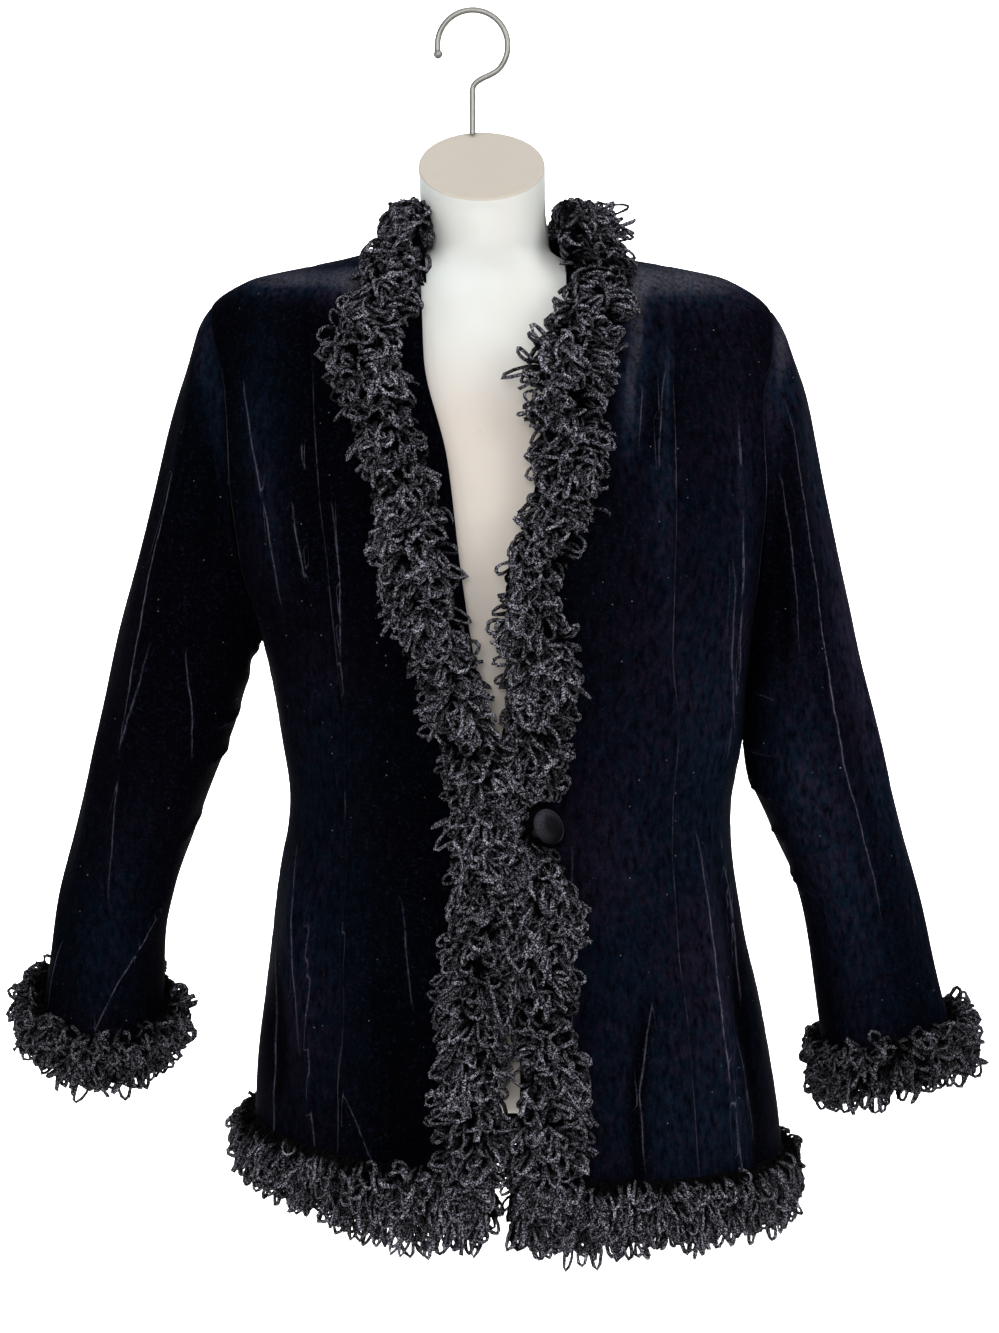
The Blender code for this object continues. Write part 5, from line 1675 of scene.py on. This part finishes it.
def settle(thing, slot, *nodes):
    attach(thing, "root")
    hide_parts(*nodes)


def make_body_panels(side, velvet):
    """The front centre, front side and back of one side of the body, by node name."""
    meeting = shoulder_meeting()

    def front_edge(z):
        return SIDES[side] * front_angle(front(side + "_edge", z), z)

    def princess(z):
        return princess_angle(side, z)

    def front_end(z):
        return side_angle(z, "front")

    def centre_end(z):
        return np.minimum(princess(z), front_end(z))

    return {
        f"front_centre_{side}": make_panel(
            f"front_centre_{side}_velvet",
            side,
            front_edge,
            centre_end,
            panel_heights(NECK_Z),
            FRONT_CENTRE_COLUMNS,
            (False, "lined"),
            velvet,
        ),
        f"front_side_{side}": make_panel(
            f"front_side_{side}_velvet",
            side,
            princess,
            front_end,
            panel_heights(meeting - SIDE_TOP_GAP),
            FRONT_SIDE_COLUMNS,
            (True, "lined"),
            velvet,
        ),
        f"back_{side}": make_panel(
            f"back_{side}_velvet",
            side,
            back_start,
            back_neck_angle,
            panel_heights(NECK_Z, scoop=True),
            BACK_COLUMNS,
            (True, True),
            velvet,
            lap=LAP_SINK,
        ),
    }


def main():
    velvet = velvet_material()
    yarn = yarn_material()
    cloth, trims = {}, {}
    for side in SIDES:
        cloth.update(make_body_panels(side, velvet))
        cloth[f"sleeve_{side}"] = make_sleeve(side, velvet)
        trims[f"trim_front_{side}"] = make_front_trim(side, yarn)
        trims[f"trim_cuff_{side}"] = make_cuff_trim(side, yarn)
    cloth["collar"] = make_collar(velvet)
    trims["trim_collar"] = make_collar_trim(yarn)
    trims["trim_hem"] = make_hem_trim(yarn)
    for node, piece in trims.items():
        settle(piece, "yarn", node)
    button = make_button(button_cover_material())
    plastic = plastic_material("form_plastic", FORM_WARM, FORM_COOL)
    cap = plastic_material("neck_cap", CAP_WARM, CAP_PALE)
    form = make_form(plastic, cap)
    hook = make_hook(steel_material())
    settle(button, "velvet", "button")
    settle(form, "plastic", "torso_form")
    settle(hook, "steel", "hook")
    for node, piece in cloth.items():
        settle(piece, "velvet", node)
    make_stage()
    light_and_camera()


main()
bpy.context.view_layer.update()
